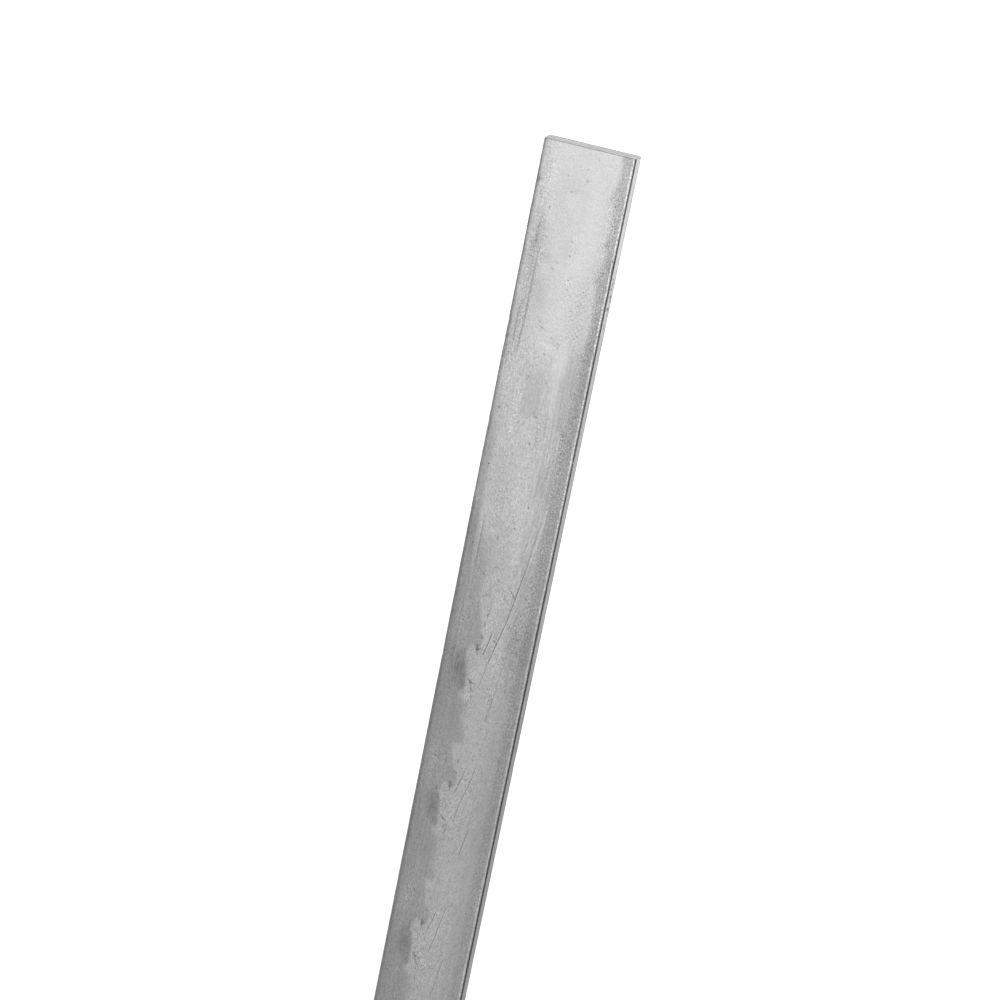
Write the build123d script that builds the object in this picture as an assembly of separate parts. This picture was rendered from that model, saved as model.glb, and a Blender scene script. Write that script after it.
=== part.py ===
from build123d import *
import os

# Flat bar: one length of rolled stock, lying on its broad face.
# Millimetres. X runs along the bar, Y across its width and Z up through its
# thickness. The origin is the centre of the underside.

# Driving dimensions
length = 914.4          # 36 in, cut length
width = 25.4            # 1 in, across the broad face
thickness = 6.35        # 1/4 in
arris_radius = 0.8      # rounding that rolling leaves on the four long edges
end_break = 0.2         # worn edge round each cut end

# Section: a rectangle with rolled arrises, extruded from one cut to the other.
section = Plane.YZ.offset(-length / 2) * Pos(0, thickness / 2) * RectangleRounded(
    width, thickness, arris_radius
)
bar = extrude(section, amount=length)

# Cut ends: square to the bar, with their edge just broken all the way round.
end_faces = bar.faces().sort_by(Axis.X)
end_edges = end_faces[0].edges() + end_faces[-1].edges()
bar = fillet(end_edges, end_break)

flat_bar = bar.solids()[0]
flat_bar.label = "flat_bar"

os.makedirs("parts", exist_ok=True)
export_step(flat_bar, "parts/flat_bar.step")
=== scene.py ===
"""Looks of a rolled steel flat bar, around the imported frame.

Everything is in metres in the row's frame: +X along the bar, +Y across it, +Z up.
Feature tables are in millimetres on the bar's unrolled skin:
  u  distance from the -X cut end
  p  distance round the section. On the top face p is the distance from the -Y edge;
     it goes on over the +Y edge face, the underside and the -Y edge face.
"""

import math

import bpy
import numpy as np
from mathutils import Matrix, Vector


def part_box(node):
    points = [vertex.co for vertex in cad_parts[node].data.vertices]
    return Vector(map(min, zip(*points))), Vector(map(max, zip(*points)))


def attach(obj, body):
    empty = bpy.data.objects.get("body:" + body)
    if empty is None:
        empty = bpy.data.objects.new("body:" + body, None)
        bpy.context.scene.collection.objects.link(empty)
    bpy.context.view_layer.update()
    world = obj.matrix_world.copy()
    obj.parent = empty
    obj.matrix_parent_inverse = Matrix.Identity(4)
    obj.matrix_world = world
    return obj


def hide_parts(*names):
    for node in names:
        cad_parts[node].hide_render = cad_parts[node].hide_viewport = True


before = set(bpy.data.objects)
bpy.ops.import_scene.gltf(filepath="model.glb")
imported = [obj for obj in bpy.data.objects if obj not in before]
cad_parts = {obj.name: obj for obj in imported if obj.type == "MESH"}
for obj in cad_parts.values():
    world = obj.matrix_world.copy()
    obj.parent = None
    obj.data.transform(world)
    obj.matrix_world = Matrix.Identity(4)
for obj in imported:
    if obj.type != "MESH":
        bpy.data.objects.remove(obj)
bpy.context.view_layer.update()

# ---------------------------------------------------------------- sizes, mm
lo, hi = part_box("flat_bar")
L = (hi.x - lo.x) * 1000.0
W = (hi.y - lo.y) * 1000.0
T = (hi.z - lo.z) * 1000.0
R = 0.8  # rolled rounding of the long edges
ARC = R * math.pi / 2
P_TOP0, P_TOP1 = R, W - R
P_RIGHT0 = P_TOP1 + ARC
P_RIGHT1 = P_RIGHT0 + (T - 2 * R)
P_BOT0 = P_RIGHT1 + ARC
P_BOT1 = P_BOT0 + (W - 2 * R)
P_LEFT0 = P_BOT1 + ARC
P_LEFT1 = P_LEFT0 + (T - 2 * R)
PERIM = P_LEFT1 + ARC - P_TOP0  # once round
rng = np.random.default_rng(7391)


# ---------------------------------------------------------------- noise
def _hash(i, j, k, seed):
    with np.errstate(over="ignore"):
        h = (
            i.astype(np.int64) * 374761393
            + j.astype(np.int64) * 668265263
            + k.astype(np.int64) * 2246822519
            + seed * 1274126177
        ) & 0xFFFFFFFF
        h = ((h ^ (h >> 13)) * 1274126177) & 0xFFFFFFFF
        h = ((h ^ (h >> 16)) * 2654435761) & 0xFFFFFFFF
    return (h ^ (h >> 15)) / 4294967295.0 * 2.0 - 1.0


def noise3(x, y, z, seed=0):
    x, y, z = np.broadcast_arrays(
        np.asarray(x, float), np.asarray(y, float), np.asarray(z, float)
    )
    xi, yi, zi = np.floor(x), np.floor(y), np.floor(z)
    fx, fy, fz = x - xi, y - yi, z - zi
    fx, fy, fz = (f * f * f * (f * (f * 6 - 15) + 10) for f in (fx, fy, fz))
    out = 0.0
    for a in (0, 1):
        for b in (0, 1):
            for c in (0, 1):
                w = (
                    (fx if a else 1 - fx)
                    * (fy if b else 1 - fy)
                    * (fz if c else 1 - fz)
                )
                out = out + w * _hash(xi + a, yi + b, zi + c, seed)
    return out


def fbm(x, y, z, seed=0, octaves=3):
    out, amp, tot = 0.0, 1.0, 0.0
    for o in range(octaves):
        out = out + amp * noise3(x * 2**o, y * 2**o, z * 2**o, seed + 31 * o)
        tot += amp
        amp *= 0.5
    return out / tot


def sstep(a, b, x):
    t = np.clip((x - a) / (b - a), 0, 1)
    return t * t * (3 - 2 * t)


def wrap_p(d):
    return (d + PERIM / 2) % PERIM - PERIM / 2


# ---------------------------------------------------------------- stations
NICKS = []  # (u, p, half length, half width, depth) on the long edges
for edge_mid in (P_TOP1 + ARC / 2, P_TOP0 - ARC / 2, P_RIGHT1 + ARC / 2, P_BOT1 + ARC / 2):
    n = 26
    for u0 in np.sort(rng.uniform(4, L - 4, n)):
        NICKS.append(
            (
                float(u0),
                float(edge_mid + rng.uniform(-0.3, 0.3)),
                float(rng.uniform(0.5, 1.9)),
                float(rng.uniform(0.35, 0.6)),
                float(rng.uniform(0.05, 0.17)),
            )
        )


def stations(count):
    """Distances along the bar: close together near the cut ends and where an edge is nicked."""
    s = np.linspace(0, L, 40001)
    h = np.where(s < 262, 0.62, 1.75)
    h = 0.62 + (1.75 - 0.62) * sstep(250, 300, s)
    for u0, _, a, _, _ in NICKS:
        h = h * (1 - 0.45 * np.exp(-(((s - u0) / (a * 0.9)) ** 2)))
    for d in (s, L - s):
        h = h * (0.35 + 0.65 * sstep(0.0, 5.0, d))
    dens = np.cumsum(1 / h)
    dens = (dens - dens[0]) / (dens[-1] - dens[0])
    return np.interp(np.linspace(0, 1, count), dens, s)


BREAK = 0.2  # worn rounding at the cut ends
US = stations(772)
US = US[(US > BREAK + 0.12) & (US < L - BREAK - 0.12)]
US = np.concatenate([[BREAK], US, [L - BREAK]])

NT, NS, NA = 36, 10, 8  # segments over a broad face, an edge face and a rounding


def section(u):
    """The unrolled loop at stations u: y, z, outward normal and p, with the rounding a little uneven along the bar."""
    u = np.asarray(u, float)[:, None]
    rad = [
        R * (1 + 0.16 * fbm(u / 45.0, 0.5 + 7 * c, 3.3, 11 + c, 3) + 0.05 * noise3(u / 4.0, 9.1, c, 5))
        for c in range(4)
    ]  # top +Y, bottom +Y, bottom -Y, top -Y
    th = np.linspace(0, math.pi / 2, NA + 1)[None]
    ys, zs, ny, nz, pp = [], [], [], [], []

    def put(y, z, a, b, p):
        y, z, a, b, p = np.broadcast_arrays(y, z, a, b, p)
        ys.append(y), zs.append(z), ny.append(a), nz.append(b), pp.append(p)

    def run(n):
        return (np.arange(1, n) / n)[None]

    one = np.ones_like(u)
    tl, tr, br, bl = rad[3], rad[0], rad[1], rad[2]
    t = run(NT)
    put(-W / 2 + tl + (W - tl - tr) * t, T * one, 0 * one, 1 * one, P_TOP0 + (P_TOP1 - P_TOP0) * t)
    put(W / 2 - tr + tr * np.sin(th), T - tr + tr * np.cos(th), np.sin(th), np.cos(th), P_TOP1 + R * th)
    t = run(NS)
    put(W / 2 * one, (T - tr) + (br - (T - tr)) * t, 1 * one, 0 * one, P_RIGHT0 + (P_RIGHT1 - P_RIGHT0) * t)
    put(W / 2 - br + br * np.cos(th), br - br * np.sin(th), np.cos(th), -np.sin(th), P_RIGHT1 + R * th)
    t = run(NT)
    put(W / 2 - br + (bl + br - W) * t, 0 * one, 0 * one, -1 * one, P_BOT0 + (P_BOT1 - P_BOT0) * t)
    put(-W / 2 + bl - bl * np.sin(th), bl - bl * np.cos(th), -np.sin(th), -np.cos(th), P_BOT1 + R * th)
    t = run(NS)
    put(-W / 2 * one, bl + (T - tl - bl) * t, -1 * one, 0 * one, P_LEFT0 + (P_LEFT1 - P_LEFT0) * t)
    put(-W / 2 + tl - tl * np.cos(th), T - tl + tl * np.sin(th), -np.cos(th), np.sin(th), P_LEFT1 + R * th)
    n = len(u)
    cat = lambda parts: np.concatenate([np.broadcast_to(q, (n, q.shape[1])) for q in parts], 1)
    return cat(ys), cat(zs), cat(ny), cat(nz), cat(pp)


Y, Z, NY, NZ, PP = section(US)
U = np.broadcast_to(US[:, None], Y.shape).copy()
NLOOP = Y.shape[1]

# ---------------------------------------------------------------- relief: always inwards, so the outline stays the stock size
DENTS = []
for _ in range(64):
    DENTS.append(
        (
            float(rng.uniform(8, L - 8)),
            float(rng.uniform(0, PERIM)),
            float(rng.uniform(0.9, 2.6)),
            float(rng.uniform(0.012, 0.05)),
        )
    )


def relief(u, p, y, z):
    """How far each point is sunk below the true section, mm."""
    d = 0.022 * (0.5 + 0.5 * fbm(u / 90.0, y / 9.0, z / 9.0, 71, 2))
    d = d + 0.006 * (0.5 + 0.5 * noise3(u / 30.0, y / 1.3, z / 1.3, 77))
    for u0, p0, r, dep in DENTS:
        m = np.abs(u - u0) < r * 2.2
        if not m.any():
            continue
        q = ((u[m] - u0) ** 2 + wrap_p(p[m] - p0) ** 2) / r**2
        d[m] += dep * np.exp(-q * 1.6)
    for u0, p0, a, b, dep in NICKS:
        m = np.abs(u - u0) < a * 2.5
        if not m.any():
            continue
        q = ((u[m] - u0) / a) ** 2 + (wrap_p(p[m] - p0) / b) ** 2
        d[m] += dep * np.exp(-(q**1.4))
    return d


D = relief(U, PP, Y, Z)
Y = Y - NY * D
Z = Z - NZ * D
# the bar rests on its underside and shows its full section somewhere
Z = np.clip(Z, 0.0, T)

# ---------------------------------------------------------------- mesh
verts, faces = [], []
n_st = len(US)
body = np.stack([U - L / 2, Y, Z], -1)  # n_st x NLOOP x 3


def end_rings(k, sign):
    """Rings that carry the body over the worn edge to the flat of the cut."""
    y, z = body[k][:, 1], body[k][:, 2]
    ny, nz = NY[k], NZ[k]
    p = PP[k]
    r = BREAK * (1 + 0.45 * noise3(p / 1.7, 4.4, sign, 91) + 0.3 * noise3(p / 0.6, 1.2, sign, 92))
    rings = []
    for phi in (math.pi / 8, math.pi / 4, math.pi * 3 / 8, math.pi / 2):
        inset = r * (1 - math.cos(phi))
        out = BREAK * math.sin(phi)
        x = (BREAK - out) if sign < 0 else (L - BREAK + out)
        rings.append(np.stack([np.full(NLOOP, x) - L / 2, y - ny * inset, z - nz * inset], -1))
    return rings


near = end_rings(0, -1)
far = end_rings(n_st - 1, 1)
rows = [*near[::-1], *body, *far]  # from the -X cut to the +X cut
allv = np.concatenate(rows, 0)
n_rows = len(rows)
idx = np.arange(n_rows * NLOOP).reshape(n_rows, NLOOP)
a = idx[:-1]
b = idx[1:]
quads = np.stack([a, b, np.roll(b, -1, 1), np.roll(a, -1, 1)], -1).reshape(-1, 4)


# caps: a grid whose rim is the inner ring. Its corners are the middles of the roundings.
def cap(row, sign, start):
    ring = rows[row]
    NY_, NZ_ = NT + NA, NS + NA
    # the loop starts just after the top face's first point, so find the middle of the top -Y rounding
    off = NLOOP - NA // 2 - 1
    loop = np.roll(np.arange(NLOOP), -off)
    top = loop[: NY_ + 1]
    right = loop[NY_ : NY_ + NZ_ + 1]
    bottom = loop[NY_ + NZ_ : 2 * NY_ + NZ_ + 1][::-1]
    left = np.concatenate([loop[2 * NY_ + NZ_ :], loop[:1]])[::-1]
    i = np.linspace(0, 1, NY_ + 1)[:, None, None]
    j = np.linspace(0, 1, NZ_ + 1)[None, :, None]
    t_, b_ = ring[top][:, None], ring[bottom][:, None]
    l_, r_ = ring[left][None], ring[right][None]
    g = (1 - j) * t_ + j * b_ + (1 - i) * l_ + i * r_
    c00, c10, c01, c11 = ring[top[0]], ring[top[-1]], ring[bottom[0]], ring[bottom[-1]]
    g = g - ((1 - i) * (1 - j) * c00 + i * (1 - j) * c10 + (1 - i) * j * c01 + i * j * c11)
    base = row * NLOOP
    ids = np.full((NY_ + 1, NZ_ + 1), -1, int)
    ids[:, 0] = base + top
    ids[:, -1] = base + bottom
    ids[0, :] = base + left
    ids[-1, :] = base + right
    inner = g[1:-1, 1:-1].reshape(-1, 3).copy()
    # saw marks: faint ridges across the thickness, deeper towards one side
    y, z = inner[:, 1], inner[:, 2]
    q = y * 0.94 + z * 0.34
    sink = 0.014 * (0.5 + 0.5 * np.sin(q * 5.3 + 1.5 * noise3(y / 3, z / 3, sign, 61)))
    sink += 0.02 * (0.5 + 0.5 * fbm(y / 2.2, z / 2.2, sign, 63, 3))
    inner[:, 0] -= sign * sink
    ids[1:-1, 1:-1] = start + np.arange(len(inner)).reshape(NY_ - 1, NZ_ - 1)
    f = np.stack([ids[:-1, :-1], ids[1:, :-1], ids[1:, 1:], ids[:-1, 1:]], -1).reshape(-1, 4)
    if sign > 0:
        f = f[:, ::-1]
    return inner, f, ids


in0, f0, ids0 = cap(0, -1, len(allv))
in1, f1, ids1 = cap(n_rows - 1, 1, len(allv) + len(in0))
allv = np.concatenate([allv, in0, in1], 0)
faces = np.concatenate([quads, f0, f1], 0)
n_skin, n_cap = len(quads), len(f0)
VX, VY, VZ = allv[:, 0], allv[:, 1], allv[:, 2]

# chart of every vertex: distance along the bar and round the section
row_u = np.concatenate([np.zeros(len(near)), US, np.full(len(far), L)])
row_arc = row_u.copy()  # the same, measured over the worn edges, for the bake map
STEP_ARC = BREAK * math.pi / 8
row_arc[: len(near)] = BREAK - STEP_ARC * np.arange(len(near), 0, -1)
row_arc[-len(far) :] = L - BREAK + STEP_ARC * np.arange(1, len(far) + 1)
skin_u = allv[: n_rows * NLOOP, 0] + L / 2
skin_p = np.tile(PP[0], n_rows)
cap_u = np.concatenate([np.zeros(len(in0)), np.full(len(in1), L)])
VU_TRUE = np.concatenate([skin_u, cap_u])
# the marks are laid out on a run half a percent longer, drawn up to fit
VU = VU_TRUE + 0.005 * np.minimum(VU_TRUE, 260.0)
VP = np.concatenate([skin_p, np.full(len(in0) + len(in1), -100.0)])
on_skin = VP > -50
VY_, VZ_ = allv[:, 1], allv[:, 2]

# ---------------------------------------------------------------- marks on the surface
# Each is placed on a face by (u, c), c being the distance across it in millimetres:
# from the -Y edge on the top and the underside, from the underside on the edge faces.
TOP, RIGHT, BOTTOM, LEFT = 0, 1, 2, 3
FACE_P = {
    TOP: lambda c: c,
    RIGHT: lambda c: P_RIGHT0 + (T - R - c),
    BOTTOM: lambda c: P_BOT0 + (W - R) - c,
    LEFT: lambda c: P_LEFT0 + (c - R),
}
ACROSS = {TOP: W, RIGHT: T, BOTTOM: W, LEFT: T}
SEEN = 252.0  # the mesh is fine up to here, coarser beyond
N_ALL = len(allv)


def path_at(u, pts):
    pts = np.array(pts, float)
    return np.interp(u, pts[:, 0], pts[:, 1])


def smooth_path(pts):
    """The same path with its corners eased, as many short steps."""
    pts = np.array(pts, float)
    q = np.linspace(pts[0, 0], pts[-1, 0], 160)
    v = np.interp(q, pts[:, 0], pts[:, 1])
    k = 9
    pad = np.concatenate([2 * v[0] - v[1 : k + 1][::-1], v, 2 * v[-1] - v[-k - 1 : -1][::-1]])
    w = np.hanning(2 * k + 1)
    v = np.convolve(pad, w / w.sum(), "same")[k:-k]
    return list(zip(q, v))


def shifted(pts, du, dc=0.0, stretch=1.0):
    u0 = pts[0][0]
    return [(u0 + du + (u - u0) * stretch, c + dc) for u, c in pts]


# ---- long fine scratches and roll lines: face, path, half width, darkness (below 0: lighter), bright lip, groove depth mm
# Lines of one set keep well clear of each other.
LONG_A = [(100.5, 20.3), (106.5, 19.75), (112.4, 19.1), (117.6, 18.45), (120.4, 18.07)]
LONG_B = [(116.8, 18.56), (122.7, 17.75), (128.6, 16.95), (134.5, 16.0), (139.6, 14.85), (144, 13.95), (147.9, 13.25)]
LINES = {
    1: [
        (TOP, LONG_A, 0.24, 0.28, 0.42, 0.009),
        (TOP, [(147.4, 13.35), (150.5, 12.7), (154.8, 11.9)], 0.13, 0.38, 0.3, 0.010),
        (TOP, [(144.6, 18.2), (149, 17.5), (153.8, 16.95)], 0.15, 0.22, 0.1, 0.004),
        (TOP, [(176.4, 16.1), (180.5, 15.5), (184.5, 14.7), (188, 13.8), (191.4, 13.15), (195.4, 12.6)], 0.14, 0.44, 0.35, 0.012),
        (TOP, [(220.6, 15.95), (223.4, 15.45), (226.2, 14.95), (229, 14.5), (232, 14.15), (235, 13.45), (238.2, 12.85)], 0.14, 0.46, 0.3, 0.011),
        (TOP, [(237.4, 17.75), (243.6, 17.05), (251.6, 16.1)], 0.14, 0.34, 0.2, 0.008),
        (TOP, [(28.4, 4.3), (33, 4.5), (40, 4.5), (46, 4.55), (52, 4.3), (56, 4.15), (61, 4.05)], 0.28, 0.33, 0.0, 0.004),
        (TOP, [(103.5, 4.35), (111, 4.45), (121.5, 4.35)], 0.20, 0.32, 0.0, 0.005),
        (TOP, [(128, 3.1), (138, 3.2), (149, 3.0)], 0.16, 0.22, 0.0, 0.004),
        (TOP, [(86.5, 16.9), (93, 16.95), (99, 17.2)], 0.19, 0.20, 0.0, 0.004),
        (TOP, [(76.6, 20.1), (82, 20.35), (88.5, 20.45)], 0.24, -0.20, 0.0, 0.0),
        (TOP, [(74.2, 13.4), (77, 13.7), (80, 14.0), (84, 13.9)], 0.24, 0.16, 0.0, 0.004),
    ],
    2: [
        (TOP, [(96.5, 20.45), (100, 20.9), (104, 20.72), (108, 20.35), (112.6, 19.85)], 0.25, -0.13, 0.0, 0.0),
        (TOP, [(104.2, 18.0), (109, 17.5), (115, 17.1)], 0.18, 0.13, 0.2, 0.004),
        (TOP, [(129.5, 11.2), (132, 10.9), (134.8, 10.6)], 0.20, 0.28, 0.1, 0.008),
        (TOP, LONG_B, 0.15, 0.62, 0.55, 0.016),
        (TOP, [(136.8, 12.95), (140, 12.5), (142.5, 12.0), (145.3, 11.35)], 0.15, 0.62, 0.3, 0.012),
        (TOP, [(154.4, 17.05), (158, 16.55), (161.6, 16.0), (163.8, 15.6)], 0.15, 0.38, 0.2, 0.010),
        (TOP, [(179.3, 13.0), (182, 12.6), (184.6, 12.0), (187.2, 11.4)], 0.14, 0.52, 0.3, 0.012),
        (TOP, [(196, 17.4), (201.6, 16.6), (205.6, 16.1)], 0.14, 0.44, 0.3, 0.010),
        (TOP, [(223.6, 12.95), (226.6, 12.5), (229, 11.9), (231.4, 11.2)], 0.14, 0.55, 0.3, 0.012),
        (TOP, [(165, 16.9), (170, 16.5), (175.5, 16.4)], 0.16, 0.13, 0.0, 0.004),
        (TOP, [(17, 3.75), (22, 3.55), (28, 3.4), (31.5, 3.2)], 0.22, 0.20, 0.0, 0.004),
        (TOP, [(42.5, 3.2), (45, 2.7), (48, 2.5), (54, 2.5), (58, 2.6)], 0.22, 0.30, 0.0, 0.004),
        (TOP, [(78, 16.1), (84, 16.25), (91, 16.4)], 0.22, -0.09, 0.0, 0.0),
        (TOP, [(57, 20.8), (62, 20.6), (68, 20.9)], 0.20, 0.18, 0.0, 0.004),
        (TOP, [(50.5, 15.6), (56, 14.8), (60.5, 15.1)], 0.22, 0.09, 0.0, 0.0),
        (TOP, [(87, 19.95), (91, 19.85), (94.5, 19.85)], 0.24, -0.20, 0.0, 0.0),
        (TOP, [(102, 3.85), (112, 3.9), (124, 3.8)], 0.26, -0.11, 0.0, 0.0),
        (TOP, [(30, 3.4), (36, 3.5), (41, 3.3)], 0.22, 0.15, 0.0, 0.003),
    ],
}


def clear_of(face, u0, u1, c, store, gap_u, gap_c):
    for f, pts, *_ in store:
        if f != face or pts[-1][0] < u0 - gap_u or pts[0][0] > u1 + gap_u:
            continue
        if abs(np.mean([q[1] for q in pts]) - c) < gap_c + abs(pts[0][1] - pts[-1][1]) / 2:
            return False
    return True


for face, n, span in ((TOP, 34, (258, L - 5)), (BOTTOM, 52, (5, L - 5)), (RIGHT, 10, (64, L - 6)), (LEFT, 12, (8, L - 6))):
    broad = face in (TOP, BOTTOM)
    made = 0
    for _ in range(5000):
        if made >= n:
            break
        u0 = float(rng.uniform(*span))
        fine = rng.random() < 0.5
        length = float(rng.uniform(5, 16) if fine else rng.uniform(14, 46))
        u1 = min(u0 + length, span[1])
        c0 = float(rng.uniform(1.5, ACROSS[face] - 1.5))
        drift = float(rng.normal(0, 0.11 if fine else 0.03)) * (u1 - u0) * (1.0 if broad else 0.15)
        c1 = float(np.clip(c0 + drift, 1.2, ACROSS[face] - 1.2))
        which = 1 + made % 2
        if not clear_of(face, u0, u1, (c0 + c1) / 2, LINES[which], 6, 2.8 if broad else 1.3):
            continue
        bend = float(rng.normal(0, 0.012)) * (u1 - u0)
        pts = [(u0, c0), ((u0 + u1) / 2, (c0 + c1) / 2 + bend * (1.0 if broad else 0.2)), (u1, c1)]
        if fine:
            LINES[which].append((face, pts, float(rng.uniform(0.11, 0.16)), float(rng.uniform(0.25, 0.6)), float(rng.uniform(0.1, 0.7)), float(rng.uniform(0.006, 0.016))))
        else:
            LINES[which].append((face, pts, float(rng.uniform(0.18, 0.34)), float(rng.uniform(-0.16, 0.28)), 0.0, float(rng.uniform(0.0, 0.004))))
        made += 1


def line_fields(group):
    """Distance to the nearest line of the group over its half width, with its darkness, lip and depth."""
    d = np.full(N_ALL, 40.0)
    near_d = np.full(N_ALL, 40.0)
    dark, lip, deep = np.zeros(N_ALL), np.zeros(N_ALL), np.zeros(N_ALL)
    for face, pts, half, k, bright, depth in group:
        pts = smooth_path(pts)
        u0, u1 = pts[0][0], pts[-1][0]
        m = on_skin & (VU > u0 - 4) & (VU < u1 + 4)
        slope0 = (pts[4][1] - pts[0][1]) / (pts[4][0] - pts[0][0])
        slope1 = (pts[-1][1] - pts[-5][1]) / (pts[-1][0] - pts[-5][0])
        uu = VU[m]
        c = path_at(uu, pts)
        c = c + np.where(uu < u0, (uu - u0) * slope0, 0) + np.where(uu > u1, (uu - u1) * slope1, 0)
        dist = wrap_p(VP[m] - FACE_P[face](c))
        run = min(0.14 * (u1 - u0), 2.5) if half < 0.17 else min(0.25 * (u1 - u0), 6.0)
        taper = sstep(u0, u0 + run, uu) * sstep(u1, u1 - run, uu)
        w = taper * sstep(2.2, 1.4, np.abs(dist))
        ids = np.flatnonzero(m)
        take = np.abs(dist) < near_d[ids]
        ids, dist, w = ids[take], dist[take], w[take]
        near_d[ids] = np.abs(dist)
        d[ids] = np.clip(dist / half, -30, 30)
        dark[ids] = k * w
        lip[ids] = bright * w
        deep[ids] = depth * w
    return d, dark, lip, deep


S1 = line_fields(LINES[1])
S2 = line_fields(LINES[2])

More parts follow.
